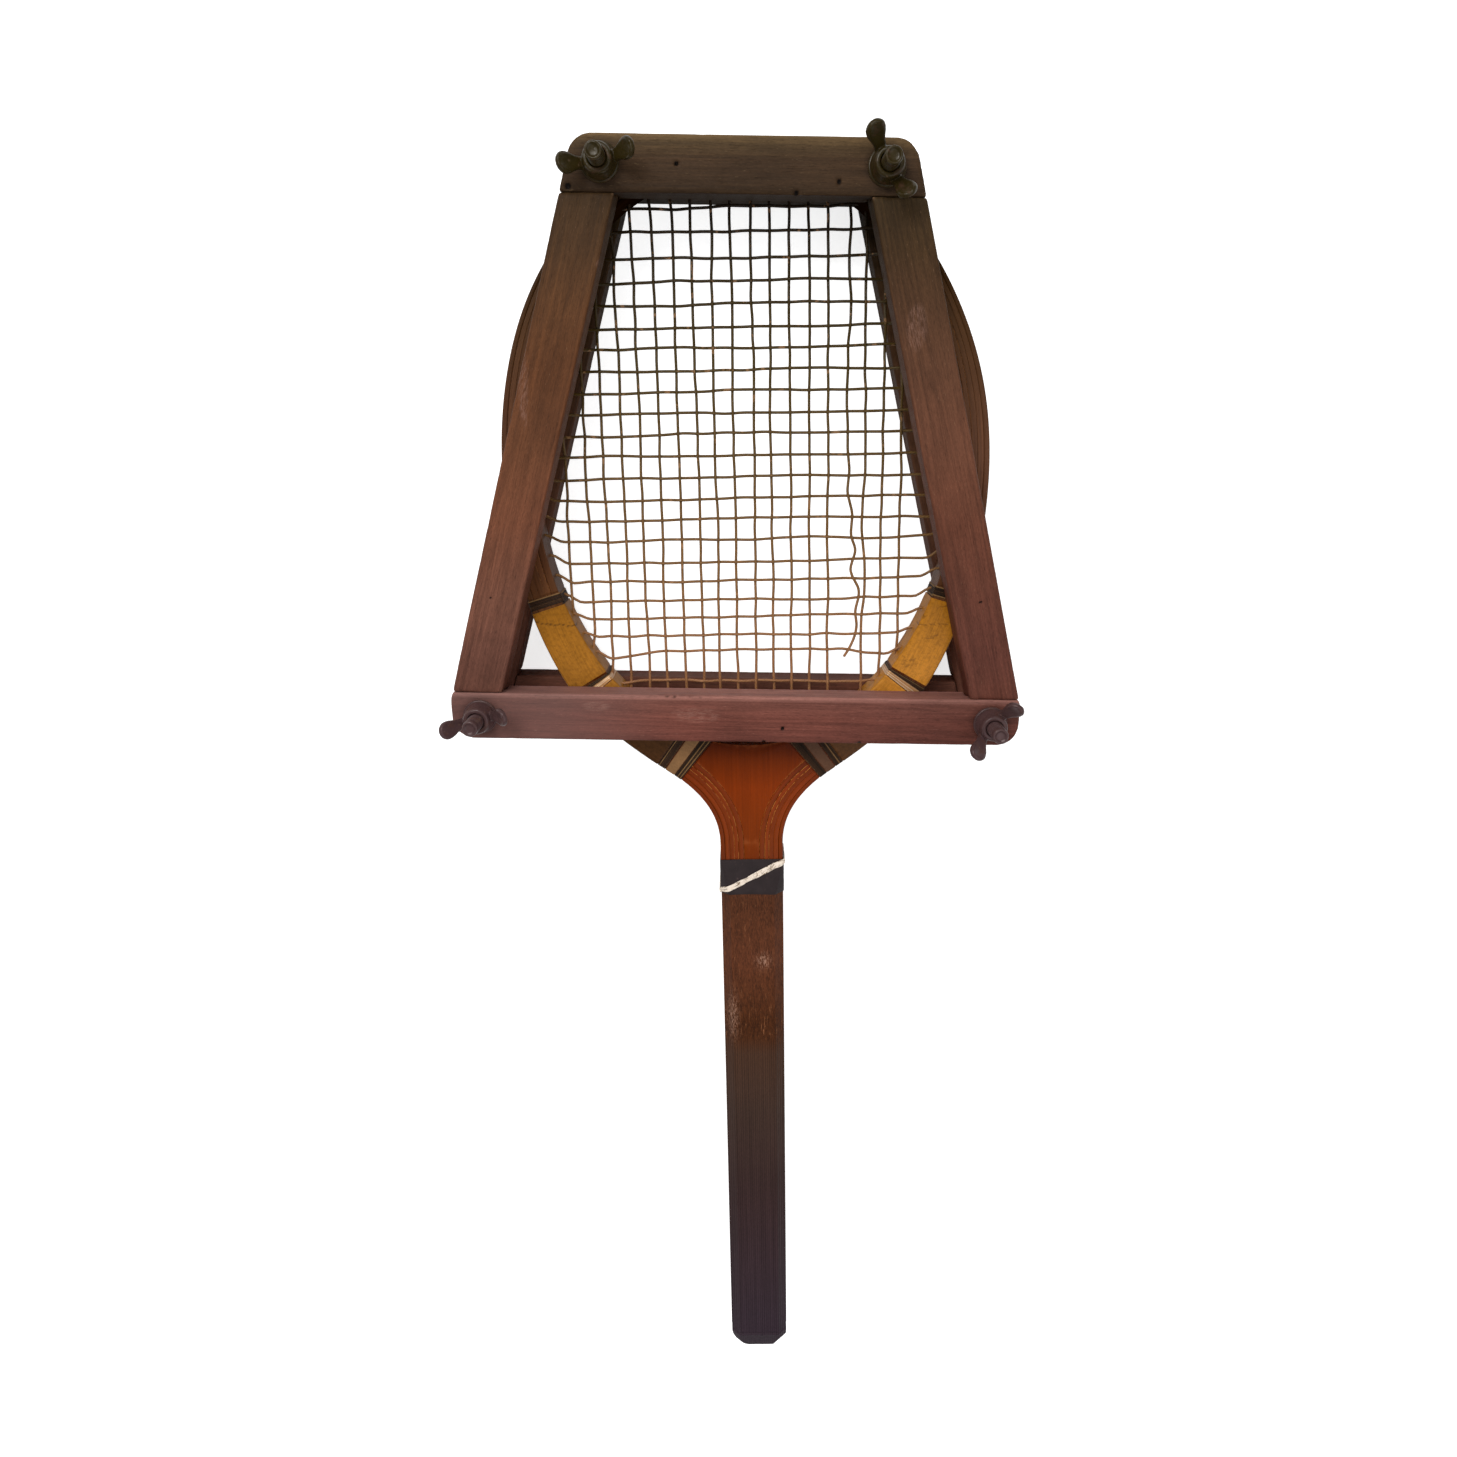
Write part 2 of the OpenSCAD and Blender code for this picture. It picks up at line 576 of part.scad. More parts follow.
// The lower end of the block is rounded off in two steps
module butt_block() {
  color(handle_c * 0.8) in_press() hull() {
    slice(core_end - 0.06, octagon(0, pallet_t));
    slice(butt_end + 7.4, octagon(0, pallet_t));
    slice(butt_end + 3, octagon(-2.4, pallet_t));
    slice(butt_end + slice_t, octagon(-6.8, pallet_t));
  }
}
module neck_tape() {
  color([0.18, 0.16, 0.18]) in_press() difference() {
    neck_sleeve(0.55, 0, 0);
    neck_sleeve(0.05, 1, 1);
  }
}
// A narrow band cut aslant from a sleeve over the tape
module tie_strap() {
  color([0.87, 0.82, 0.74]) in_press() intersection() {
    difference() {
      neck_sleeve(1.5, 2.4, 2.6);
      neck_sleeve(0.62, 2.5, 2.7);
    }
    translate([0, -tape_start - strap_drop, 0]) rotate([0, 0, strap_turn])
      cube([80, strap_w, 60], center = true);
  }
}

back_bottom_rail();
back_top_rail();
back_left_stile();
back_right_stile();
front_bottom_rail();
front_top_rail();
front_left_stile();
front_right_stile();
back_lap_brads();
front_lap_brads();
carriage_bolts();
washers();
wing_nut_top_left();
wing_nut_top_right();
wing_nut_bottom_left();
wing_nut_bottom_right();
bow_outer_ply();
bow_middle_ply();
bow_inner_ply();
throat_wedge();
handle_front_pallet();
handle_back_pallet();
butt_block();
neck_tape();
tie_strap();
left_shoulder_wrap();
right_shoulder_wrap();
left_throat_wrap();
right_throat_wrap();
left_upper_binding();
right_upper_binding();
left_lower_binding();
right_lower_binding();
left_wire_binding();
right_wire_binding();
left_throat_bindings();
right_throat_bindings();
left_throat_strip();
right_throat_strip();
main_strings();
broken_main_string();
cross_strings();
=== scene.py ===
"""A strung wooden racket clamped in a wooden press, lying flat on a pale floor.

The press is two four-bar frames (two rails, two slanting stiles) joined by four bolts
with wing nuts. Its back lies at z = 0 and its front faces +Z. The racket's head points
to +Y, its handle to -Y, and +X is to the right. Sizes are in mm, and become metres
where the meshes are made.
"""
import math

import bmesh
import bpy
import numpy as np
from mathutils import Matrix, Vector

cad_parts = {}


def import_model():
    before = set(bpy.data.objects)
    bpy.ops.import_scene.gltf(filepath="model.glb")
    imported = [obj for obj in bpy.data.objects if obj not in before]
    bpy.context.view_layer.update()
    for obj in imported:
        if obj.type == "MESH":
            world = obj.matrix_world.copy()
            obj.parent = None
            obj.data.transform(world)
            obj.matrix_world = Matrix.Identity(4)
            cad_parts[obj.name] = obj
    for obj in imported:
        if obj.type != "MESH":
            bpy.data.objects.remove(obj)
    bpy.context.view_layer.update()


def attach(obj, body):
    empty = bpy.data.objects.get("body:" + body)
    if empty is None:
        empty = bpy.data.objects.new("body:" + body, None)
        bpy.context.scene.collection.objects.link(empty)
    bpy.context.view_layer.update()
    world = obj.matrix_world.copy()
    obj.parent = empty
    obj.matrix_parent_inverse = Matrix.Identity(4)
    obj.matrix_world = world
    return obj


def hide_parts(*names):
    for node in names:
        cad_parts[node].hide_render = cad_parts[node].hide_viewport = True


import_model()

# ---------------------------------------------------------------- driving dimensions (mm)
# press
BAR_T, RAIL_W, STILE_W = 17.5, 24.0, 24.9
GAP = 255.0                          # between the rails' centre lines; the low one is at y 0
HALF_BOTTOM, HALF_TOP = 143.5, 82.1  # half width at the bottom, and under the top rail
SLOPE, CORNER_R = 0.2615, 11.0       # lean of the stiles, radius of the outer corners
BOW_T = 19.9
HALF_BOW = BOW_T / 2
MID_Z = BAR_T + 0.05 + HALF_BOW
PRESS_T = 2 * MID_Z
Y_LO, Y_HI = -RAIL_W / 2, GAP + RAIL_W / 2
TOP_INNER_Y = GAP - RAIL_W / 2
BACK_LIFT = 4.2                      # the back top rail stands this much higher
BOLTS = [(-63.5, GAP), (63.5, GAP), (-128.6, 0.0), (128.6, 0.0)]
BRADS = [(-74.0, GAP - 8), (75.0, GAP - 8), (-136.5, 7.0), (136.5, 7.0)]
WING_ANGLE = {"top_left": 13.0, "top_right": 122.0, "bottom_left": 15.0, "bottom_right": 53.0}

# racket, in its own frame: origin in the head, y along the shaft
SKEW, RACKET_X, RACKET_Y = math.radians(1.84), 3.3, 120.2   # its turn and place in the press
HEAD_A, HEAD_TOP, HEAD_LOW = 119.5, 150.0, 169.0            # outer oval's half axes
OPEN_A, OPEN_TOP, OPEN_LOW = 104.5, 139.8, 139.3            # the opening's half axes
FULLNESS = 2.05                      # exponent of the upper half of both ovals
LEG_W = 12.6
HALF_NECK = 16.8
HANDLE_T = 30.0
TAPE_Y, TAPE_L = 203.6, 18.7         # tape: distance down from the origin, length
CORE_END, BUTT_END = -511.5, -529.5


# ---------------------------------------------------------------- noise and small maths
def lattice_hash(ix, iy, iz, seed):
    mixed = (ix * 374761393 + iy * 668265263 + iz * 1440662683 + seed * 974634777) & 0xFFFFFFFF
    mixed = ((mixed ^ (mixed >> 13)) * 1274126177) & 0xFFFFFFFF
    mixed = mixed ^ (mixed >> 16)
    return (mixed & 0xFFFF) / 65535.0


def value_noise(points, seed=0):
    """Smooth noise from -1 to 1 at (n, 3) points."""
    points = np.asarray(points, float)
    cell = np.floor(points).astype(np.int64)
    frac = points - cell
    frac = frac * frac * (3 - 2 * frac)
    total = np.zeros(len(points))
    for i in (0, 1):
        for j in (0, 1):
            for k in (0, 1):
                weight = (frac[:, 0] if i else 1 - frac[:, 0])
                weight = weight * (frac[:, 1] if j else 1 - frac[:, 1])
                weight = weight * (frac[:, 2] if k else 1 - frac[:, 2])
                total += weight * lattice_hash(cell[:, 0] + i, cell[:, 1] + j, cell[:, 2] + k,
                                               seed)
    return total * 2 - 1


def fractal_noise(points, octaves, seed):
    points = np.asarray(points, float)
    total, weight, weights = np.zeros(len(points)), 1.0, 0.0
    for k in range(octaves):
        total += weight * value_noise(points * 2 ** k + 17.3 * k, seed + k)
        weights += weight
        weight *= 0.5
    return total / weights


def wander(along, rate, lane, seed):
    """One-dimensional noise; lane picks an independent track."""
    return value_noise(np.column_stack([along * rate, np.full(along.shape, lane),
                                        np.zeros(along.shape)]), seed)


def smooth_step(start, end, x):
    part = np.clip((np.asarray(x, float) - start) / (end - start), 0, 1)
    return part * part * (3 - 2 * part)


def unit(vector):
    vector = np.asarray(vector, float)
    return vector / np.linalg.norm(vector)


def outward(points):
    """Unit directions from the origin to each point."""
    return points / np.linalg.norm(points, axis=1)[:, None]


# ---------------------------------------------------------------- shells: (verts, faces)
def loft_faces(sections, ring, closed=False):
    faces = []
    for i in range(sections if closed else sections - 1):
        here, there = i * ring, ((i + 1) % sections) * ring
        for j in range(ring):
            k = (j + 1) % ring
            faces.append((here + j, here + k, there + k, there + j))
    if not closed:
        faces.append(tuple(range(ring - 1, -1, -1)))
        faces.append(tuple(range((sections - 1) * ring, sections * ring)))
    return faces


def loft(sections, closed=False):
    return np.concatenate(sections), loft_faces(len(sections), len(sections[0]), closed)


def revolve(profile, count, centre=(0, 0, 0), closed=True):
    """profile is (r, z): a closed loop, or a line from axis to axis."""
    angle = np.arange(count) * 2 * math.pi / count
    return loft([np.stack([centre[0] + r * np.cos(angle), centre[1] + r * np.sin(angle),
                           np.full(count, centre[2] + z)], 1) for r, z in profile], closed)


def round_rect(low, high, half, radius, corner_steps, face_steps, side_steps):
    """Rounded rectangle (d, z), z from -half to half; same point count for any size."""
    radius = min(radius, 0.48 * (high - low), 0.48 * (half + half))
    right, left, top, bottom = high - radius, low + radius, half - radius, -half + radius
    centres = [(right, top), (left, top), (left, bottom), (right, bottom)]
    points = []
    for k, (x, z) in enumerate(centres):
        for i in range(corner_steps + 1):
            angle = math.radians(90 * k + 90 * i / corner_steps)
            points.append((x + radius * math.cos(angle), z + radius * math.sin(angle)))
        next_x, next_z = centres[(k + 1) % 4]
        angle = math.radians(90 * k + 90)
        start = points[-1]
        end = (next_x + radius * math.cos(angle), next_z + radius * math.sin(angle))
        steps = face_steps if k % 2 == 0 else side_steps
        for i in range(1, steps + 1):
            part = i / (steps + 1)
            points.append((start[0] + (end[0] - start[0]) * part,
                           start[1] + (end[1] - start[1]) * part))
    return np.array(points)


def tube(path, radius, sides, normals=None):
    """Closed tube with rounded ends; returns verts, faces and (length, angle, 0) per vertex."""
    path = np.asarray(path, float)
    tangent = np.gradient(path, axis=0)
    tangent /= np.linalg.norm(tangent, axis=1)[:, None]
    if normals is None:
        normal = np.cross(tangent, np.array([0, 0, 1.0]))
    else:
        normal = normals - (normals * tangent).sum(1)[:, None] * tangent
    normal /= np.linalg.norm(normal, axis=1)[:, None]
    binormal = np.cross(tangent, normal)
    angle = np.arange(sides) * 2 * math.pi / sides
    path = np.vstack([path[0] - tangent[0] * radius * 0.35, path,
                      path[-1] + tangent[-1] * radius * 0.35])
    normal = np.vstack([normal[0], normal, normal[-1]])
    binormal = np.vstack([binormal[0], binormal, binormal[-1]])
    radii = np.full(len(path), radius)
    radii[[0, -1]] = radius * 0.55
    ring = (np.cos(angle)[None, :, None] * normal[:, None, :]
            + np.sin(angle)[None, :, None] * binormal[:, None, :])
    verts = path[:, None, :] + radii[:, None, None] * ring
    steps = np.linalg.norm(np.diff(path, axis=0), axis=1)
    length = np.concatenate([[0], np.cumsum(steps)])
    grain = np.stack([np.repeat(length, sides), np.tile(angle, len(path)),
                      np.zeros(len(path) * sides)], 1)
    return verts.reshape(-1, 3), loft_faces(len(path), sides), grain


def prism(outline, low, high):
    count = len(outline)
    verts = np.array([(x, y, z) for z in (low, high) for x, y in outline])
    faces = [tuple(range(count - 1, -1, -1)), tuple(range(count, 2 * count))]
    faces += [(i, (i + 1) % count, count + (i + 1) % count, count + i) for i in range(count)]
    return verts, faces


def clip(outline, a, b, c):
    """Keeps the part of a convex outline where a x + b y + c >= 0."""
    kept = []
    for i, point in enumerate(outline):
        after = outline[(i + 1) % len(outline)]
        here, there = a * point[0] + b * point[1] + c, a * after[0] + b * after[1] + c
        if here >= 0:
            kept.append(point)
        if (here >= 0) != (there >= 0):
            part = here / (here - there)
            kept.append((point[0] + (after[0] - point[0]) * part,
                         point[1] + (after[1] - point[1]) * part))
    return kept


def remesh(parts, voxel):
    """Voxel union of closed shells; returns verts, faces and edges."""
    all_verts, all_faces, count = [], [], 0
    for verts, faces in parts:
        all_verts.append(np.asarray(verts, float))
        all_faces += [[i + count for i in face] for face in faces]
        count += len(verts)
    mesh = bpy.data.meshes.new("tmp")
    mesh.from_pydata(np.concatenate(all_verts).tolist(), [], all_faces)
    mesh.update()
    ob = bpy.data.objects.new("tmp", mesh)
    bpy.context.scene.collection.objects.link(ob)
    modifier = ob.modifiers.new("r", "REMESH")
    modifier.mode, modifier.voxel_size, modifier.adaptivity = "VOXEL", voxel, 0.0
    graph = bpy.context.evaluated_depsgraph_get()
    result = bpy.data.meshes.new_from_object(ob.evaluated_get(graph))
    verts = np.empty(len(result.vertices) * 3)
    result.vertices.foreach_get("co", verts)
    faces = [tuple(polygon.vertices) for polygon in result.polygons]
    edges = np.empty(len(result.edges) * 2, np.int64)
    result.edges.foreach_get("vertices", edges)
    bpy.data.objects.remove(ob)
    bpy.data.meshes.remove(mesh)
    bpy.data.meshes.remove(result)
    return verts.reshape(-1, 3), faces, edges.reshape(-1, 2)


def relax(values, edges, times):
    """Moves each vertex's values halfway to its neighbours' mean, several times."""
    degree = np.bincount(edges.ravel(), minlength=len(values))[:, None]
    for _ in range(times):
        total = np.zeros_like(values)
        np.add.at(total, edges[:, 0], values[edges[:, 1]])
        np.add.at(total, edges[:, 1], values[edges[:, 0]])
        values = values + 0.5 * (total / degree - values)
    return values


def vertex_normals(verts, faces):
    first = np.array([face[:3] for face in faces])
    face_normals = np.cross(verts[first[:, 1]] - verts[first[:, 0]],
                            verts[first[:, 2]] - verts[first[:, 0]])
    normals = np.zeros_like(verts)
    for k in range(max(len(face) for face in faces)):
        index = np.array([face[k] if k < len(face) else face[0] for face in faces])
        np.add.at(normals, index, face_normals)
    return normals / np.maximum(np.linalg.norm(normals, axis=1), 1e-12)[:, None]


def resample(outline, count, closed=False):
    """Evenly spaced points on a line of points, and their distances along it."""
    outline = np.asarray(outline, float)
    if closed:
        outline = np.vstack([outline, outline[:1]])
    steps = np.linalg.norm(np.diff(outline, axis=0), axis=1)
    length = np.concatenate([[0], np.cumsum(steps)])
    dist = np.linspace(0, length[-1], count + 1 if closed else count)
    if closed:
        dist = dist[:-1]
    return np.stack([np.interp(dist, length, outline[:, 0]),
                     np.interp(dist, length, outline[:, 1])], 1), dist


def at_y(ring, y):
    """Stands an (x, z) ring up at y."""
    return np.column_stack([ring[:, 0], np.full(len(ring), y), ring[:, 1]])


# ---------------------------------------------------------------- making pieces
def add_piece(node, suffix, shell, material, body="racket", attrs=None, sharp=None):
    """Makes the object that stands in for a CAD node; the shell is in mm."""
    verts, faces = shell
    mesh = bpy.data.meshes.new(node + "_" + suffix)
    mesh.from_pydata((np.asarray(verts, float) * 0.001).tolist(), [],
                     [list(map(int, face)) for face in faces])
    mesh.update()
    work = bmesh.new()
    work.from_mesh(mesh)
    bmesh.ops.recalc_face_normals(work, faces=work.faces)
    work.to_mesh(mesh)
    work.free()
    mesh.polygons.foreach_set("use_smooth", [True] * len(mesh.polygons))
    for key, data in (attrs or {}).items():
        data = np.asarray(data, np.float32)
        if data.ndim == 2:
            mesh.attributes.new(key, "FLOAT_VECTOR", "POINT").data.foreach_set(
                "vector", data.ravel())
        else:
            mesh.attributes.new(key, "FLOAT", "POINT").data.foreach_set("value", data)
    if sharp is not None:
        mesh.set_sharp_from_angle(angle=math.radians(sharp))
    mesh.update()
    ob = bpy.data.objects.new(node + "_" + suffix, mesh)
    bpy.context.scene.collection.objects.link(ob)
    mesh.materials.append(material)
    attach(ob, body)
    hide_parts(node)


class Shells:
    """Collects shells, with their attributes, into one piece."""

    def __init__(self):
        self.verts, self.faces, self.attrs, self.count = [], [], {}, 0

    def add(self, verts, faces, **attrs):
        self.verts.append(verts)
        self.faces += [[i + self.count for i in face] for face in faces]
        for key, data in attrs.items():
            data = np.asarray(data, float)
            if data.ndim == 0:
                data = np.full(len(verts), float(data))
            self.attrs.setdefault(key, []).append(data)
        self.count += len(verts)

    def add_tube(self, path, lane):
        """A string along a racket-frame path; lane sets its texture apart."""
        verts, faces, grain = tube(to_world(path), STRING_R, 8)
        grain[:, 2] += lane
        self.add(verts, faces, gc=grain)

    def place(self, node, suffix, material, slot, body="racket", sharp=None):
        attrs = {key: np.concatenate(data) for key, data in self.attrs.items()}
        add_piece(node, suffix, (np.concatenate(self.verts), self.faces), material,
                  body, attrs, sharp)


# ---------------------------------------------------------------- material helper
BRIGHTNESS = 1.0                     # factor on the base colours


def linear(rgb):
    """0-255 sRGB to a linear RGBA colour."""
    parts = [c / 255 for c in rgb]
    return tuple(c / 12.92 if c <= 0.04045 else ((c + 0.055) / 1.055) ** 2.4
                 for c in parts) + (1.0,)


def albedo(rgb):
    """Base colour that looks like rgb (0-255) on an upward face under the soft boxes."""
    return tuple(max((c - 0.008) / 0.80, 0.0012) for c in linear(rgb)[:3]) + (1.0,)


class Material:
    """Short names for shader nodes. Values may be numbers, colours or sockets."""

    INPUTS = {"color": "Base Color", "rough": "Roughness", "metal": "Metallic",
              "normal": "Normal", "coat": "Coat Weight", "coat_rough": "Coat Roughness",
              "spec": "Specular IOR Level", "sheen": "Sheen Weight",
              "emit": "Emission Color", "emit_strength": "Emission Strength"}

    def __init__(self, name):
        self.data = bpy.data.materials.new(name)
        self.data.use_nodes = True
        self.tree = self.data.node_tree
        self.tree.nodes.clear()
        self.output = self.node("OutputMaterial")
        self.bsdf = self.node("BsdfPrincipled")
        self.tree.links.new(self.bsdf.outputs[0], self.output.inputs[0])
        self.coords = None

    def put(self, socket, value):
        if isinstance(value, bpy.types.NodeSocket):
            self.tree.links.new(value, socket)
        elif value is not None:
            socket.default_value = value

    def node(self, kind, *inputs, **settings):
        """A node with its settings, then its first inputs in order; None skips one."""
        node = self.tree.nodes.new("ShaderNode" + kind)
        for key, value in settings.items():
            setattr(node, key, value)
        for socket, value in zip(node.inputs, inputs):
            self.put(socket, value)
        return node

    def fill(self, node, **inputs):
        for key, value in inputs.items():
            self.put(node.inputs[key], value)
        return node.outputs[0]

    def set(self, **inputs):
        for key, value in inputs.items():
            self.put(self.bsdf.inputs[self.INPUTS[key]], value)

    def math(self, operation, *values, clamp=False):
        return self.node("Math", *values, operation=operation, use_clamp=clamp).outputs[0]

    def add(self, first, second):
        return self.math("ADD", first, second)

    def sub(self, first, second):
        return self.math("SUBTRACT", first, second)

    def product(self, *factors):
        result = factors[0]
        for factor in factors[1:]:
            result = self.math("MULTIPLY", result, factor)
        return result

    def weighted(self, *pairs):
        """Sum of (signal, weight) pairs."""
        terms = [self.product(signal, weight) for signal, weight in pairs]
        result = terms[0]
        for term in terms[1:]:
            result = self.add(result, term)
        return result

    def level(self, signal, low, rise):
        """low + rise * signal"""
        return self.add(low, self.product(signal, rise))

    def swing(self, signal, amount, middle=1.0):
        """A 0-1 signal moved to vary about the middle."""
        return self.level(self.sub(signal, 0.5), low=middle, rise=amount)

    def dim(self, signal, amount):
        """1 - amount * signal"""
        return self.sub(1.0, self.product(signal, amount))

    def sine(self, value):
        return self.math("SINE", value)

    def scale(self, color, factor):
        return self.node("VectorMath", color, None, None, factor,
                         operation="SCALE").outputs[0]

    def stretched(self, vector, stretch, offset=None):
        if offset:
            vector = self.node("VectorMath", vector, offset, operation="ADD").outputs[0]
        return self.node("VectorMath", vector, stretch, operation="MULTIPLY").outputs[0]

    def obj(self):
        if self.coords is None:
            self.coords = self.node("TexCoord").outputs["Object"]
        return self.coords

    def xyz(self, vector):
        return self.node("SeparateXYZ", vector).outputs

    def grain(self):
        """The attribute gc: place in the piece in mm, x along the grain."""
        return self.node("Attribute", attribute_name="gc").outputs["Vector"]

    def attr(self, name):
        return self.node("Attribute", attribute_name=name).outputs["Fac"]

    def noise(self, vector, scale=1.0, detail=3.0, rough=0.55, warp=0.0,
              stretch=None, offset=None):
        if stretch:
            vector = self.stretched(vector, stretch, offset)
        return self.fill(self.node("TexNoise"), Vector=vector, Scale=scale, Detail=detail,
                         Roughness=rough, Distortion=warp)

    def white(self, value):
        return self.fill(self.node("TexWhiteNoise", noise_dimensions="1D"), W=value)

    def step(self, signal, zero, one):
        """Smooth step: 0 at zero, 1 at one; zero may be above one."""
        rises = zero < one
        return self.node("MapRange", signal, min(zero, one), max(zero, one),
                         0 if rises else 1, 1 if rises else 0,
                         interpolation_type="SMOOTHSTEP").outputs[0]

    def mix(self, factor, first, second):
        return self.node("Mix", factor, None, None, None, None, None, first, second,
                         data_type="RGBA").outputs[2]

    def mix_value(self, factor, first, second):
        return self.node("Mix", factor, None, first, second).outputs[0]

    def tint(self, color, rgb, *amounts):
        """Mixes the colour towards rgb by the product of the amounts."""
        return self.mix(self.product(*amounts), color, linear(rgb))

    def along_y(self, stops):
        """Colour along the object's y; stops are (y in mm, 0-255 rgb), y rising."""
        low, high = stops[0][0], stops[-1][0]
        y = self.xyz(self.obj())[1]
        part = self.math("DIVIDE", self.sub(self.product(y, 1000.0), float(low)),
                         float(high - low), clamp=True)
        node = self.node("ValToRGB", part)
        elements = node.color_ramp.elements
        while len(elements) < len(stops):
            elements.new(0.5)
        for element, (y_stop, rgb) in zip(elements, stops):
            element.position = (y_stop - low) / (high - low)
            element.color = albedo(rgb)
        return node.outputs[0]

    def bump(self, height, strength, distance):
        return self.fill(self.node("Bump"), Strength=strength, Distance=distance,
                         Height=height)

    def pointiness(self):
        return self.node("NewGeometry").outputs["Pointiness"]

    def twist(self, place, along, around):
        """Strands of a twisted thread, from its length and angle."""
        return self.sine(self.weighted((place[0], along), (place[1], around)))


# ---------------------------------------------------------------- wood
def wood(name, stops, wear, wear_rgb, streak=0.76, fine=0.7, ring=0.25, blotch=0.7,
         pores=0.5, rough=0.55, rough_swing=0.4, coat=0.0, bump=0.35, grime=0.6,
         scratch=0.35, spec=0.1, press=False, low_rail=False, bow=False):
    """Grained wood. press adds marks and flecks, bow adds ply tones and glue lines."""
    mat = Material(name)
    grain = mat.grain()
    base = mat.along_y(stops)
    streaks = mat.noise(grain, stretch=(0.011, 0.75, 0.75), detail=5, rough=0.6, warp=0.4)
    fibres = mat.noise(grain, stretch=(0.05, 3.2, 3.2), detail=3, rough=0.6)
    waves = mat.noise(grain, stretch=(0.005, 0.11, 0.11), detail=2, rough=0.5, warp=0.6)
    rings = mat.math("PINGPONG", mat.product(waves, 13.0), 1.0)
    pore = mat.step(mat.noise(grain, stretch=(0.22, 5.5, 5.5), detail=2, rough=0.6),
                    zero=0.60, one=0.70)
    blotches = mat.noise(mat.obj(), scale=26, detail=4, rough=0.6, warp=0.5)
    specks = mat.noise(grain, offset=(17, 3, 29), stretch=(0.55, 1.9, 1.9), detail=4,
                       rough=0.75)
    factors = [mat.swing(streaks, amount=streak), mat.swing(fibres, amount=fine),
               mat.swing(rings, amount=ring), mat.swing(blotches, amount=blotch),
               mat.dim(pore, amount=pores)]
    if bow:
        factors.append(mat.level(mat.attr("tone"), low=1.0, rise=0.35))
    factors.append(mat.swing(specks, amount=0.9 if press else 0.45))
    factors.append(BRIGHTNESS * 0.76)
    if low_rail:                     # darker towards both ends
        from_middle = mat.math("ABSOLUTE", mat.xyz(mat.obj())[0])
        factors.append(mat.dim(mat.step(from_middle, zero=0.03, one=0.125), amount=0.2))
    color = mat.scale(base, mat.product(*factors))
    if low_rail:                     # greyer to the left
        color = mat.tint(color, (126, 102, 98),
                         mat.step(mat.xyz(mat.obj())[0], zero=-0.02, one=-0.10), 0.3)
    # painted shade: near the crown, under the top rail, the bow is painted dark (BOW_Y), and
    # its wear, ply lines and gloss fade out
    outside_crown_shade = mat.step(mat.xyz(mat.obj())[1], zero=0.224, one=0.2) if bow else 1.0
    if press:
        fleck = mat.noise(grain, offset=(5, 61, 2), stretch=(0.28, 2.2, 2.2), detail=3,
                          rough=0.7)
        color = mat.tint(color, wear_rgb, mat.step(fleck, zero=0.64, one=0.71), 0.2)
    lines = mat.noise(grain, offset=(70, 31, 9), stretch=(0.03, 2.3, 2.3), detail=4,
                      rough=0.7)
    patches = mat.noise(mat.obj(), scale=34, detail=2)
    scratches = mat.product(mat.step(lines, zero=0.66, one=0.74),
                            mat.step(patches, zero=0.5, one=0.62))
    color = mat.tint(color, wear_rgb, scratches, scratch)
    pointiness = mat.pointiness()
    rubbing = mat.noise(mat.obj(), scale=160, detail=4, rough=0.65)
    # edge wear, faded out in the painted shade at the crown
    color = mat.tint(color, wear_rgb, mat.step(pointiness, zero=0.53, one=0.62),
                     mat.step(rubbing, zero=0.36, one=0.62), outside_crown_shade, wear)
    color = mat.tint(color, (24, 17, 12), mat.step(pointiness, zero=0.49, one=0.42), grime)
    if bow:                          # broken pale lines at the ply edges
        width = 0.2
        breaks = mat.noise(grain, stretch=(0.3, 0.5, 0.5), detail=3, rough=0.7)
        color = mat.tint(color, (214, 140, 70),
                         mat.step(mat.attr("edge"), zero=width, one=width * 0.35),
                         mat.step(breaks, zero=0.42, one=0.56), mat.attr("pale"), outside_crown_shade, 0.9)
    if press:                        # dark marks and pale scuffs set on the mesh
        color = mat.tint(color, (14, 9, 7), mat.step(mat.attr("mark"), zero=0.15, one=0.8),
                         0.92)
        rubs = mat.noise(grain, stretch=(0.30, 2.6, 2.6), detail=4, rough=0.7)
        color = mat.tint(color, (170, 130, 116),
                         mat.step(mat.attr("pale"), zero=0.05, one=1.0),
                         mat.step(rubs, zero=0.42, one=0.66), 0.26)
    relief = mat.weighted((fibres, 0.6), (streaks, 0.5))
    relief = mat.sub(relief, mat.product(pore, 0.8))
    relief = mat.sub(relief, mat.product(scratches, 0.4))
    # coat and specular fade out in the painted shade at the crown
    mat.set(color=color, rough=mat.swing(streaks, amount=rough_swing, middle=rough),
            normal=mat.bump(relief, strength=bump, distance=0.0004),
            coat=mat.product(outside_crown_shade, coat), coat_rough=0.16, spec=mat.product(outside_crown_shade, spec))
    return mat.data


# colours along y: (y in mm, rgb)
LEFT_STILE_Y = [
    (-12, (100, 66, 56)), (34, (104, 69, 58)), (60, (112, 74, 60)), (96, (113, 71, 53)),
    (133, (101, 65, 46)), (168, (95, 61, 41)), (200, (87, 59, 40)), (220, (78, 56, 39)),
    (243, (67, 51, 36)), (267, (62, 50, 36))]
RIGHT_STILE_Y = [
    (-12, (98, 60, 50)), (34, (97, 59, 50)), (96, (99, 61, 48)), (133, (103, 67, 52)),
    (168, (93, 63, 48)), (200, (80, 57, 42)), (220, (68, 51, 36)), (243, (61, 49, 35)),
    (267, (58, 48, 34))]
BACK_Y = [
    (-12, (104, 68, 58)), (12, (104, 68, 56)), (100, (94, 63, 47)), (200, (70, 50, 34)),
    (235, (54, 41, 26)), (267, (50, 40, 25))]
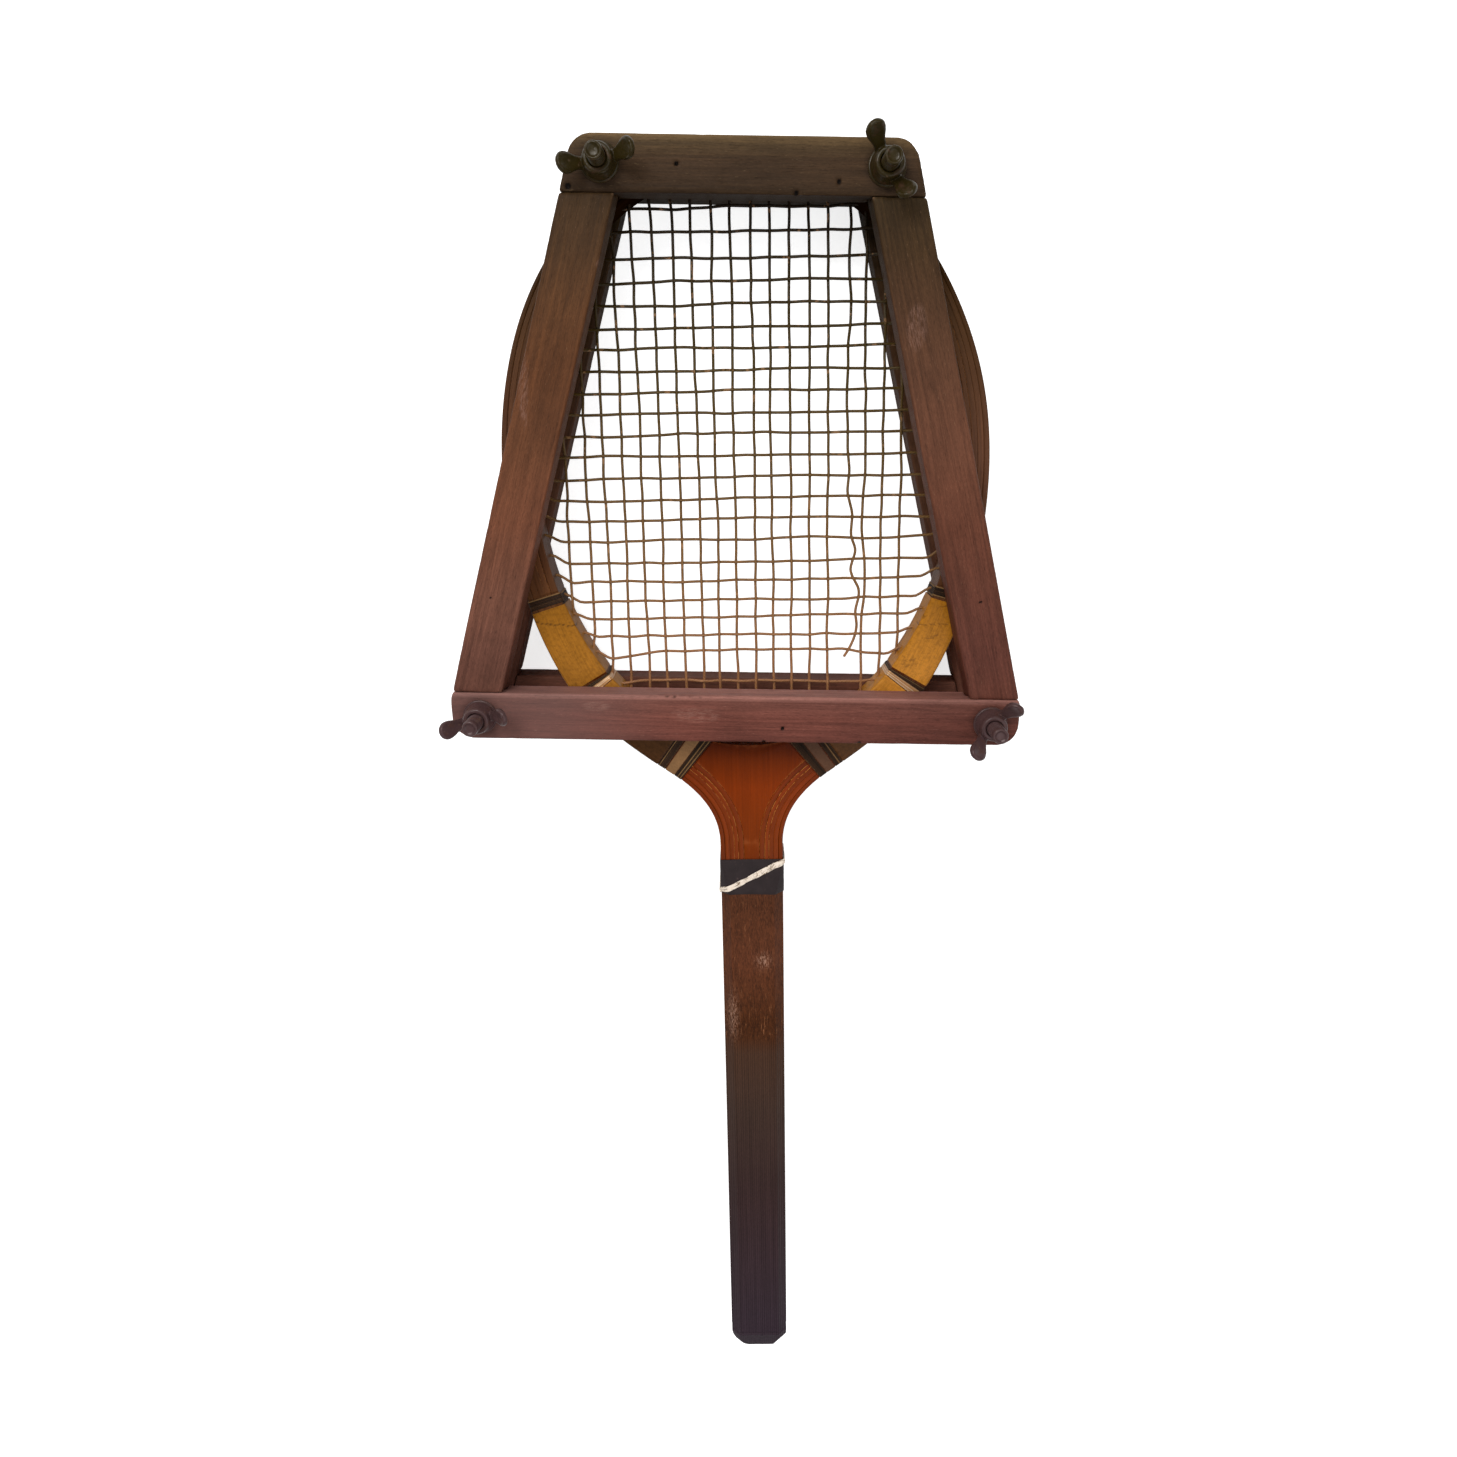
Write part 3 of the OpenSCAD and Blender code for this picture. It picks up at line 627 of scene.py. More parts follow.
# from y 9 up, the bottom rail's upper side is painted lighter: a painted highlight from light
# falling on it from the +Y side
LOW_RAIL_Y = [
    (-12, (104, 62, 54)), (0, (112, 67, 58)), (9, (114, 72, 63)), (11.5, (150, 104, 94)),
    (14, (190, 134, 121))]
# from y 263 up to the top edge the rail is painted lighter: a painted highlight on its upper
# edge
TOP_RAIL_Y = [
    (241, (58, 45, 34)), (250, (65, 50, 38)), (257, (69, 53, 40)), (263, (83, 66, 47)),
    (268, (112, 90, 62))]
BOW_Y = [
    (-420, (56, 44, 52)), (-300, (57, 43, 44)), (-197, (69, 48, 38)), (-142, (92, 56, 38)),
    (-105, (84, 50, 34)), (-84, (112, 50, 26)), (-74, (118, 53, 25)), (-43, (120, 51, 20)),
    # from y -43 up to -8: painted shadow under the bottom rail
    (-26, (98, 43, 17)), (-8, (80, 40, 18)), (40, (92, 60, 38)), (80, (94, 60, 40)),
    # from y 190 up to the crown: painted shade under the top rail
    (130, (96, 64, 47)), (190, (80, 55, 36)), (225, (52, 37, 22)), (245, (34, 26, 14)),
    (270, (30, 23, 12))]
WEDGE_Y = [
    (-420, (56, 44, 50)), (-197, (69, 48, 38)), (-105, (90, 48, 30)), (-84, (112, 50, 25)),
    # from y -43 up to -14: painted shadow under the bottom rail
    (-74, (118, 53, 25)), (-43, (124, 52, 19)), (-26, (101, 44, 17)), (-14, (70, 32, 14)),
    (20, (80, 42, 22)), (80, (80, 44, 24))]

BARE = (168, 130, 100)               # worn press wood
LEFT_STILE = wood("press_wood_left_stile", LEFT_STILE_Y, wear=0.5, wear_rgb=BARE, press=True)
RIGHT_STILE = wood("press_wood_right_stile", RIGHT_STILE_Y, wear=0.5, wear_rgb=BARE,
                   press=True)
BACK_WOOD = wood("press_wood_back", BACK_Y, wear=0.4, wear_rgb=BARE, press=True)
LOW_RAIL = wood("press_wood_low_rail", LOW_RAIL_Y, wear=0.7, wear_rgb=(190, 136, 120),
                press=True, low_rail=True)
TOP_RAIL = wood("press_wood_top_rail", TOP_RAIL_Y, wear=0.55, wear_rgb=(140, 118, 86),
                press=True)
BOW_WOOD = wood("bow_wood", BOW_Y, wear=0.35, wear_rgb=(170, 120, 74), streak=0.7, fine=0.8,
                ring=0.1, blotch=0.4, pores=0.3, rough=0.36, rough_swing=0.24, coat=0.05,
                bump=0.18, grime=0.55, scratch=0.25, bow=True)
WEDGE_WOOD = wood("wedge_wood", WEDGE_Y, wear=0.3, wear_rgb=(190, 110, 60), streak=0.6,
                  fine=0.5, ring=0.12, blotch=0.32, pores=0.15, rough=0.3, rough_swing=0.2,
                  coat=0.03, bump=0.1, grime=0.5, scratch=0.3, spec=0.05)


# ---------------------------------------------------------------- other materials
AMBER_Y = [
    (-60, (70, 46, 30)), (-30, (76, 50, 33)), (-8, (100, 68, 42)), (10, (172, 116, 48)),
    (30, (166, 110, 42)), (60, (150, 98, 34)), (90, (120, 80, 36))]
STRING_Y = [
    (-25, (150, 104, 74)), (20, (140, 98, 66)), (70, (116, 84, 52)), (120, (92, 70, 42)),
    (170, (70, 56, 30)), (215, (50, 40, 20)), (245, (38, 30, 14)), (268, (34, 27, 14))]
IRON_Y = [
    (-20, (64, 49, 50)), (20, (64, 49, 48)), (150, (52, 40, 32)), (240, (44, 38, 26)),
    (285, (42, 37, 25))]
BRAD_Y = [(-20, (66, 48, 40)), (270, (46, 38, 28))]
HANDLE_Y = [
    (-420, (55, 45, 53)), (-381, (55, 45, 51)), (-300, (57, 43, 43)), (-236, (63, 48, 42)),
    (-200, (68, 48, 38)), (-190, (70, 42, 28)), (-179, (72, 42, 27)), (-142, (89, 52, 36)),
    (-105, (78, 47, 33)), (-80, (80, 48, 33))]


def amber_material():
    mat = Material("amber_wrap")
    grain = mat.grain()
    base = mat.along_y(AMBER_Y)
    streaks = mat.noise(grain, stretch=(0.03, 0.85, 0.85), detail=4, rough=0.6, warp=0.3)
    threads = mat.noise(grain, stretch=(0.10, 4.0, 4.0), detail=2, rough=0.5)
    spots = mat.step(mat.noise(mat.obj(), scale=95, detail=4, rough=0.7, warp=0.6),
                     zero=0.60, one=0.72)
    grime = mat.noise(mat.obj(), scale=38, detail=4, rough=0.6)
    factor = mat.product(mat.swing(streaks, amount=0.75), mat.swing(threads, amount=0.35),
                         mat.swing(grime, amount=0.7, middle=0.98), BRIGHTNESS)
    color = mat.scale(base, factor)
    # the left side is darker
    to_right = mat.step(mat.xyz(mat.obj())[0], zero=-0.03, one=0.03)
    color = mat.scale(color, mat.level(to_right, low=0.72, rise=0.30))
    mottle = mat.noise(mat.obj(), scale=560, detail=4, rough=0.7)
    color = mat.scale(color, mat.dim(mat.step(mottle, zero=0.42, one=0.68), amount=0.26))
    color = mat.tint(color, (74, 46, 20), spots, 0.5)
    color = mat.tint(color, (48, 30, 14), mat.step(mat.attr("mark"), zero=0.2, one=0.9), 0.6)
    color = mat.tint(color, (240, 214, 160), mat.step(mat.attr("pale"), zero=0.2, one=0.9),
                     0.9)
    relief = mat.sub(mat.weighted((streaks, 0.7), (threads, 0.3)), mat.product(spots, 0.3))
    mat.set(color=color, rough=mat.level(grime, low=0.24, rise=0.18),
            normal=mat.bump(relief, strength=0.22, distance=0.0004),
            coat=0.06, coat_rough=0.12, spec=0.08)
    return mat.data


def thread_material(name, rgbs, rough, pale, pale_rgb, coat, metal=0.0):
    """Wound thread or wire: gc.x runs along it, tone holds the turn number.

    rgbs are the two ends of the turns' colours; pale is the share of pale turns."""
    mat = Material(name)
    grain = mat.grain()
    turn = mat.attr("tone")
    color = mat.mix(mat.white(turn), linear(rgbs[0]), linear(rgbs[1]))
    other = mat.white(mat.add(turn, 31.7))
    color = mat.tint(color, pale_rgb, mat.step(other, zero=1 - pale, one=1 - pale + 0.02),
                     0.85)
    dirt = mat.noise(grain, stretch=(0.35, 1.0, 1.0), detail=4, rough=0.65)
    blotches = mat.noise(mat.obj(), scale=60, detail=3)
    color = mat.scale(color, mat.product(mat.level(dirt, low=0.62, rise=0.76),
                                         mat.level(blotches, low=0.72, rise=0.56),
                                         BRIGHTNESS))
    twist = mat.twist(mat.xyz(grain), along=5.2, around=2.0)
    relief = mat.add(mat.product(twist, 0.35), dirt)
    mat.set(color=color, rough=rough, metal=metal, coat=coat, coat_rough=0.25, spec=0.15,
            normal=mat.bump(relief, strength=0.3, distance=0.00012))
    return mat.data


def string_material():
    mat = Material("string_gut")
    grain = mat.grain()
    base = mat.along_y(STRING_Y)
    dirt = mat.noise(grain, stretch=(0.22, 0.7, 0.7), detail=4, rough=0.7)
    specks = mat.step(mat.noise(grain, stretch=(0.75, 1.1, 1.0), detail=2, rough=0.6),
                      zero=0.56, one=0.66)
    twist = mat.twist(mat.xyz(grain), along=3.4, around=3.0)
    color = mat.scale(base, mat.product(mat.level(dirt, low=0.55, rise=0.9),
                                        mat.level(twist, low=1.0, rise=0.12), BRIGHTNESS))
    color = mat.tint(color, (60, 42, 28), specks, 0.55)
    # painted highlights: random pale patches stand in for glints on the varnished gut
    painted_glints = mat.step(mat.noise(mat.obj(), scale=240, detail=2, rough=0.5),
                      zero=0.62, one=0.7)
    color = mat.tint(color, (190, 140, 98), painted_glints, 0.35)
    mat.set(color=color, rough=mat.level(dirt, low=0.3, rise=0.3), coat=0.1,
            coat_rough=0.25, spec=0.2,
            normal=mat.bump(mat.add(twist, dirt), strength=0.4, distance=0.00012))
    return mat.data


def iron_material(name, stops, coat):
    mat = Material(name)
    place = mat.obj()
    base = mat.along_y(stops)
    coarse = mat.noise(place, scale=260, detail=5, rough=0.65, warp=0.3)
    fine = mat.noise(place, scale=900, detail=3, rough=0.6)
    rust = mat.step(mat.noise(place, scale=120, detail=5, rough=0.7, warp=0.8),
                    zero=0.52, one=0.68)
    color = mat.scale(base, mat.product(mat.level(coarse, low=0.66, rise=0.68),
                                        BRIGHTNESS * 1.35))
    color = mat.tint(color, (92, 56, 40), rust, 0.4)
    pointiness = mat.pointiness()
    color = mat.tint(color, (124, 100, 80), mat.step(pointiness, zero=0.53, one=0.60),
                     mat.step(coarse, zero=0.4, one=0.6), 0.3)
    color = mat.tint(color, (16, 12, 10), mat.step(pointiness, zero=0.485, one=0.43), 0.6)
    relief = mat.weighted((coarse, 0.7), (fine, 0.3))
    mat.set(color=color, rough=mat.add(0.28, mat.weighted((rust, 0.3), (fine, 0.12))),
            metal=0.12, normal=mat.bump(relief, strength=0.28, distance=0.0003),
            coat=coat, coat_rough=0.14, spec=0.25)
    return mat.data


def tape_material():
    mat = Material("neck_tape")
    grain = mat.grain()
    around, along = mat.xyz(grain)[:2]
    dirt = mat.noise(mat.obj(), scale=120, detail=4, rough=0.6)
    weave_wave = mat.product(mat.sine(mat.product(around, 9.0)),
                             mat.sine(mat.product(along, 9.0)))
    rubbed = mat.step(mat.noise(grain, stretch=(0.5, 0.25, 0.5), detail=4, rough=0.7),
                      zero=0.60, one=0.74)
    color = mat.mix(dirt, linear((33, 26, 27)), linear((54, 44, 45)))
    color = mat.tint(color, (96, 74, 70), rubbed, 0.35)
    color = mat.scale(color, mat.product(mat.level(weave_wave, low=1.0, rise=0.08),
                                         BRIGHTNESS))
    relief = mat.add(weave_wave, mat.product(dirt, 2.0))
    mat.set(color=color, rough=0.6, sheen=0.05, coat=0.0, spec=0.15,
            normal=mat.bump(relief, strength=0.25, distance=0.00018))
    return mat.data


def strap_material():
    mat = Material("tie_strap_cream")
    grain = mat.grain()
    dirt = mat.noise(grain, stretch=(0.35, 0.9, 0.9), detail=5, rough=0.7, warp=0.5)
    cells = mat.fill(mat.node("TexVoronoi", feature="DISTANCE_TO_EDGE"),
                     Vector=mat.stretched(grain, (0.55, 0.75, 0.75)), Scale=1.0)
    patches = mat.noise(grain, stretch=(0.1, 0.1, 0.1), detail=2)
    cracks = mat.product(mat.step(cells, zero=0.07, one=0.02),
                         mat.step(patches, zero=0.42, one=0.58))
    chips = mat.step(mat.noise(grain, offset=(13, 5, 0), stretch=(0.22, 0.5, 0.5), detail=4,
                               rough=0.75, warp=0.7), zero=0.56, one=0.60)
    color = mat.mix(dirt, linear((206, 178, 150)), linear((255, 248, 236)))
    color = mat.tint(color, (110, 78, 48), cracks, 0.8)
    color = mat.tint(color, (112, 84, 46), chips)
    relief = mat.sub(dirt, mat.add(cracks, chips))
    mat.set(color=mat.scale(color, BRIGHTNESS), rough=0.42, coat=0.2,
            normal=mat.bump(relief, strength=0.5, distance=0.0003))
    return mat.data


def handle_material(name, butt=False):
    """Fibrous upper part, combed lower part; the butt block is combed all over."""
    mat = Material(name)
    grain = mat.grain()
    racket_y = mat.attr("yl")        # mm along the racket
    base = mat.along_y(HANDLE_Y)
    fibres = mat.noise(grain, stretch=(0.16, 0.85, 0.85), detail=5, rough=0.72, warp=1.2)
    hairs = mat.noise(grain, stretch=(0.55, 1.9, 1.9), detail=3, rough=0.65, warp=0.8)
    streaks = mat.noise(grain, stretch=(0.012, 1.1, 1.1), detail=4, rough=0.6)
    comb = mat.level(mat.sine(mat.product(mat.xyz(grain)[1], 2 * math.pi / COMB_PITCH)),
                     low=0.5, rise=0.5)
    upper = 0.0
    if not butt:
        ragged = mat.noise(grain, stretch=(0.05, 0.4, 0.4), detail=4)
        upper = mat.step(mat.swing(ragged, amount=26.0, middle=racket_y),
                         zero=-314, one=-309)
    upper_tone = mat.add(0.50, mat.weighted((mat.step(fibres, zero=0.36, one=0.64), 0.55),
                                            (mat.step(hairs, zero=0.4, one=0.62), 0.35)))
    lower_tone = mat.add(
        mat.level(mat.step(hairs, zero=0.42, one=0.60), low=0.60, rise=0.18),
        mat.weighted((mat.step(streaks, zero=0.35, one=0.65), 0.3), (comb, 0.34)))
    blotches = mat.noise(mat.obj(), scale=30, detail=3)
    color = mat.scale(base, mat.product(mat.mix_value(upper, lower_tone, upper_tone),
                                        mat.level(blotches, low=0.86, rise=0.28),
                                        BRIGHTNESS * 0.92))
    # pale threads on the upper part, denser near its lower end
    threads = mat.step(mat.noise(grain, offset=(3, 9, 1), stretch=(0.09, 1.6, 1.6),
                                 detail=4, rough=0.75, warp=0.9), zero=0.59, one=0.67)
    low_end = mat.product(mat.step(racket_y, zero=-277, one=-310), upper)
    amount = mat.weighted((upper, 0.28), (low_end, 0.35))
    color = mat.tint(color, (176, 116, 76), threads, amount)
    color = mat.tint(color, (200, 156, 132), mat.attr("pale"),
                     mat.step(hairs, zero=0.45, one=0.62), 0.6)
    flecks = mat.noise(grain, offset=(44, 2, 8), stretch=(0.06, 1.5, 1.5), detail=4,
                       rough=0.75)
    color = mat.tint(color, (132, 104, 96), mat.step(flecks, zero=0.69, one=0.75), 0.3)
    lower_relief = mat.weighted((comb, 0.8), (streaks, 0.5))
    upper_relief = mat.add(fibres, mat.product(threads, 0.6))
    relief = mat.mix_value(upper, lower_relief, upper_relief)
    mat.set(color=color, rough=mat.level(fibres, low=0.5, rise=0.15),
            normal=mat.bump(relief, strength=0.35, distance=0.0004),
            coat=0.0, coat_rough=0.3, spec=0.12)
    return mat.data


COMB_PITCH = 1.2                     # mm between the handle's combed grooves

AMBER = amber_material()
THREAD = thread_material("dark_thread", ((36, 24, 15), (64, 42, 26)), rough=0.55,
                         pale=0.18, pale_rgb=(140, 106, 66), coat=0.05)
WIRE = thread_material("copper_wire", ((206, 150, 100), (232, 190, 140)), rough=0.32,
                       pale=0.15, pale_rgb=(250, 226, 190), coat=0.3, metal=0.55)
LEFT_STRIP = thread_material("pale_strip", ((112, 78, 48), (140, 104, 66)), rough=0.5,
                             pale=0.2, pale_rgb=(158, 120, 80), coat=0.03)
RIGHT_STRIP = thread_material("dark_strip", ((74, 48, 32), (96, 64, 44)), rough=0.5,
                              pale=0.15, pale_rgb=(112, 78, 50), coat=0.03)
STRING = string_material()
IRON = iron_material("bronzed_iron", IRON_Y, coat=0.1225)
BRAD_STEEL = iron_material("brad_steel", BRAD_Y, coat=0.035)
TAPE = tape_material()
STRAP = strap_material()
HANDLE = handle_material("handle_wood")
BUTT = handle_material("handle_wood_butt", butt=True)


# ---------------------------------------------------------------- press bars
LAP_GAP, LAP_OVERLAP = 0.06, 1.2     # side clearance in the laps; overlap inside a bar

# small holes in the front face: x, y, radius, depth
HOLES = {
    "front_top_rail": [(-29.7, 255.0, 1.1, 3), (23.6, 243.9, 1.1, 3), (42.6, 248.7, 1.2, 3),
                       (-77.9, 245.2, 1.5, 2.5)],
    "front_bottom_rail": [(23.8, -4.6, 1.1, 2.5), (63.0, -11.4, 0.9, 2),
                          (14.3, -11.6, 1.0, 2)],
    "front_right_stile": [(111.5, 13.4, 1.1, 3), (119.3, 61.5, 0.75, 2)],
    "front_left_stile": [(-121.0, 60.0, 0.6, 1.5)],
}
# pale oval scuffs in the front face: x, y, half width, half height
SCUFFS = {
    "front_bottom_rail": [(-20, 2, 16, 5), (-70, 6, 9, 3)],
    "front_right_stile": [(80.5, 188, 6, 13)],
    "front_left_stile": [(-63, 213, 4, 3), (-101, 160, 3, 24)],
}


def press_half(y):
    """Half width of the press at y, along the slanting sides."""
    return HALF_TOP + SLOPE * (TOP_INNER_Y - y)


def corner(x, y, start, end):
    """Outer corner arc about (x, y), angles in degrees."""
    angles = [math.radians(start + (end - start) * i / 12) for i in range(13)]
    return [(x + CORNER_R * math.cos(a), y + CORNER_R * math.sin(a)) for a in angles]


def press_outline(lift):
    lean = math.degrees(math.atan(SLOPE))
    top = Y_HI + lift - CORNER_R
    right = (corner(HALF_BOTTOM - CORNER_R, Y_LO + CORNER_R, -90, 0)
             + [(HALF_BOTTOM, TOP_INNER_Y - (HALF_BOTTOM - HALF_TOP) / SLOPE)]
             + corner(press_half(top) - CORNER_R / math.cos(math.radians(lean)), top,
                      lean, 90))
    return right + [(-x, y) for x, y in reversed(right)]


def bar_parts(place, lift):
    """Lapped bar of the front frame: a rail is outermost in the laps, a stile innermost."""
    whole = press_outline(lift)
    inner_z, mid_z = PRESS_T - BAR_T, PRESS_T - BAR_T / 2
    stile_line = press_half(0) - STILE_W     # stiles' inner side where it meets y = 0
    if place.endswith("rail"):
        if place == "top_rail":
            rail = clip(whole, 0, 1, -(GAP + lift - RAIL_W / 2))
        else:
            rail = clip(whole, 0, -1, RAIL_W / 2)
        between = rail
        for side in (-1, 1):
            between = clip(between, -side, -SLOPE, stile_line - LAP_GAP)
        return [prism(rail, mid_z + 0.05, PRESS_T),
                prism(between, inner_z, mid_z + LAP_OVERLAP)]
    side = -1 if place == "left_stile" else 1
    stile = clip(whole, side, SLOPE, -stile_line)
    between = clip(stile, 0, 1, -(RAIL_W / 2 + LAP_GAP))
    between = clip(between, 0, -1, GAP + lift - RAIL_W / 2 - LAP_GAP)
    return [prism(stile, inner_z, mid_z - 0.05), prism(between, mid_z - LAP_OVERLAP, PRESS_T)]


def weather(verts, faces, edges, grain, seed):
    """Slow waviness, raised grain and knocked edges."""
    normals = vertex_normals(verts, faces)
    corners = np.clip((1 - np.abs(normals).max(1)) / 0.25, 0, 1)
    corners = relax(corners[:, None], edges, 3)[:, 0]
    push = (0.10 * fractal_noise(grain * np.array([0.010, 0.09, 0.09]), 2, seed)
            + 0.045 * fractal_noise(grain * np.array([0.03, 0.9, 0.9]), 2, seed + 9))
    chips = (np.clip(fractal_noise(verts * 0.16, 3, seed + 21) - 0.12, 0, 1) * 1.6
             + np.clip(fractal_noise(verts * 0.045, 2, seed + 33) - 0.30, 0, 1) * 3.0)
    push = push - corners * np.clip(chips, 0, 0.9) * 0.75 - 0.02
    return verts + normals * push[:, None]


def mark_front(node, verts, mark, pale):
    """Holes, scuffs, grime round the nuts and a chipped edge; changes verts in place."""
    x, y, z = verts.T
    for hole_x, hole_y, radius, deep in HOLES[node]:
        dist = np.hypot(x - hole_x, y - hole_y)
        weight = (1 - smooth_step(radius * 0.5, radius * 1.25, dist)) * (z > PRESS_T - 2.5)
        z -= weight * deep * 0.6
        mark = np.maximum(mark, weight)
    for scuff_x, scuff_y, half_x, half_y in SCUFFS.get(node, []):
        oval = ((x - scuff_x) / half_x) ** 2 + ((y - scuff_y) / half_y) ** 2
        pale = np.maximum(pale, (1 - smooth_step(0.2, 1.0, oval)) * (z > PRESS_T - 1.5))
    for bolt_x, bolt_y in BOLTS:
        dist = np.hypot(x - bolt_x, y - bolt_y)
        near = 1 - smooth_step(8.5, 14.5, dist)
        mark = np.maximum(mark, 0.36 * near * (z > PRESS_T - 1.5))
    if node == "front_bottom_rail":  # chipped upper edge left of the middle
        weight = (np.exp(-((x + 26) / 20.0) ** 2) * smooth_step(9.5, 12.0, y)
                  * (z > PRESS_T - 2.5))
        jagged = np.clip(fractal_noise(verts * 0.55, 3, 77) + 0.25, 0, 1)
        mark = np.maximum(mark, weight * jagged * 0.9)
        y -= weight * jagged * 0.9
    return mark, pale


def bar(frame_side, place, seed, material):
    """Shaped in the front frame's place, and mirrored for the back."""
    node = frame_side + "_" + place
    front = frame_side == "front"
    lift = 0.0 if front else BACK_LIFT
    turn = {"left_stile": -1, "right_stile": 1}.get(place, 0) * math.atan(SLOPE)
    cosine, sine = math.cos(-turn), math.sin(-turn)
    rotation = np.array([[cosine, -sine, 0], [sine, cosine, 0], [0, 0, 1]])
    # the bar is turned upright so that the voxels line up with it
    parts = [(verts @ rotation.T, faces) for verts, faces in bar_parts(place, lift)]
    verts, faces, edges = remesh(parts, 0.85)
    verts = relax(verts, edges, 3)
    grain = verts if place.endswith("rail") else verts[:, [1, 0, 2]]
    grain = grain + np.array([seed * 97.3, seed * 13.7, seed * 5.1])
    verts = weather(verts, faces, edges, grain, seed)
    verts[:, 2] = np.clip(verts[:, 2], PRESS_T - BAR_T + 0.02, PRESS_T)
    verts = verts @ rotation
    verts[:, 0] = np.clip(verts[:, 0], -HALF_BOTTOM + 0.01, HALF_BOTTOM - 0.01)
    verts[:, 1] = np.clip(verts[:, 1], Y_LO + 0.01, Y_HI + lift - 0.01)
    mark, pale = np.zeros(len(verts)), np.zeros(len(verts))
    if front:
        mark, pale = mark_front(node, verts, mark, pale)
    else:
        verts[:, 2] = PRESS_T - verts[:, 2]
        faces = [tuple(reversed(face)) for face in faces]
        for x, y in BOLTS:           # seats for the bolt heads
            dist = np.hypot(verts[:, 0] - x, verts[:, 1] - y)
            weight = (1 - smooth_step(7.1, 7.9, dist)) * (verts[:, 2] < 3)
            verts[:, 2] += weight * 4.7
            mark = np.maximum(mark, weight * 0.5)
    add_piece(node, "wood", (verts, faces), material, frame_side + "_frame",
              {"gc": grain, "mark": mark, "pale": pale})


FRONT_BARS = {"top_rail": TOP_RAIL, "bottom_rail": LOW_RAIL, "left_stile": LEFT_STILE,
              "right_stile": RIGHT_STILE}
for k, (place, material) in enumerate(FRONT_BARS.items()):
    bar("front", place, k + 1, material)
for k, place in enumerate(FRONT_BARS):
    bar("back", place, k + 5, BACK_WOOD)


# ---------------------------------------------------------------- press hardware
# half sections: r, z
BRAD_PROFILE = [
    (0.02, 0.0), (0.75, -0.02), (1.05, -0.12), (1.2, -0.3), (1.15, -0.5), (0.9, -0.62),
    (0.88, -6), (0.86, -13.0), (0.3, -13.6), (0.02, -13.7)]
BOLT_HEAD = [
    (0.6, 0.62), (2.6, 0.55), (4.2, 0.42), (5.2, 0.33), (5.6, 0.42), (5.9, 0.9),
    (6.75, 3.6), (6.9, 4.0), (6.75, 4.35), (6.2, 4.5), (4.6, 4.5), (3.95, 4.7)]
BOLT_TIP = [
    (3.9, 78.0), (3.82, 78.4), (3.62, 78.75), (3.3, 78.93), (3.0, 78.95), (2.75, 78.8),
    (2.45, 78.45), (1.6, 78.3), (0.6, 78.25)]
WASHER_PROFILE = [
    (4.35, 0.25), (4.6, 0.03), (8.2, 0.03), (8.55, 0.2), (8.6, 0.7), (8.5, 1.2),
    (8.1, 1.45), (6.4, 1.49), (4.7, 1.46), (4.35, 1.2)]
NUT_HUB = [
    (4.25, 0.0), (7.6, 0.0), (8.0, 0.5), (8.0, 1.6), (7.5, 3.2), (6.9, 6.0), (6.55, 8.6),
    (6.0, 9.5), (4.25, 9.5)]
# stations along a wing: distance from its root, half width, thickness
WING_STATIONS = [
    (-1.5, 2.9, 3.4), (1.0, 2.75, 3.3), (3.5, 2.7, 3.1), (5.5, 2.9, 2.9), (7.5, 3.45, 2.75),
    (9.3, 4.1, 2.7), (11.0, 4.5, 2.8), (12.56, 4.65, 2.95), (13.9, 4.5, 3.0),
    (15.1, 3.95, 3.0), (16.0, 3.15, 2.9), (16.7, 2.2, 2.6), (17.1, 1.2, 2.1)]
WING_RISE = math.radians(52.8)
SHANK_R, THREAD_R, THREAD_PITCH, THREAD_DEPTH = 3.94, 3.93, 1.411, 0.34


def brads(frame_side):
    """Small nails at the laps, heads just under the outer face."""
    front = frame_side == "front"
    shells = Shells()
    for x, y in BRADS:
        verts, faces = revolve(BRAD_PROFILE, 20, closed=False)
        verts[:, 2] *= 1 if front else -1
        lift = BACK_LIFT if y > 100 and not front else 0
        shells.add(verts + np.array([x, y + lift, PRESS_T - 0.18 if front else 0.18]), faces)
    shells.place(frame_side + "_lap_brads", "nails", BRAD_STEEL, "brad_steel",
                 frame_side + "_frame", sharp=50)


def bolt_shell(bolt_x, bolt_y, seed):
    """Round flat head, plain shank and a threaded end with a dished tip."""
    count = 40
    angle = np.arange(count) * 2 * math.pi / count
    rings = []

    def ring(radius, z, thread=0.0):
        phase = (z / THREAD_PITCH - angle / (2 * math.pi)) % 1.0
        radii = radius - thread * smooth_step(0.15, 0.95, np.abs(phase - 0.5) * 2)
        rings.append(np.stack([bolt_x + radii * np.cos(angle), bolt_y + radii * np.sin(angle),
                               np.full(count, z)], 1))

    for radius, z in BOLT_HEAD:
        ring(radius, z)
    for z in (10, 20, 30, 40, 50, 54.5):
        ring(SHANK_R, z)
    for z in np.arange(55.0, 77.6, THREAD_PITCH / 9):
        fade = float(smooth_step(55.0, 57.5, z) * (1 - smooth_step(75.5, 77.2, z)))
        ring(THREAD_R, z, THREAD_DEPTH * fade)
    for radius, z in BOLT_TIP:
        ring(radius, z)
    verts, faces = loft(rings)
    tip = verts[:, 2] > 77           # hammered surface
    verts[tip, 2] += 0.10 * value_noise(verts[tip] * 0.8, seed) - 0.1
    return verts, faces


def washer_shell(bolt_x, bolt_y, seed):
    verts, faces = revolve(WASHER_PROFILE, 56, (bolt_x, bolt_y, PRESS_T + 0.02))
    top = verts[:, 2] > PRESS_T + 0.8
    verts[top, 2] -= 0.05 * (1 + value_noise(verts[top] * 0.6, seed))
    return verts, faces


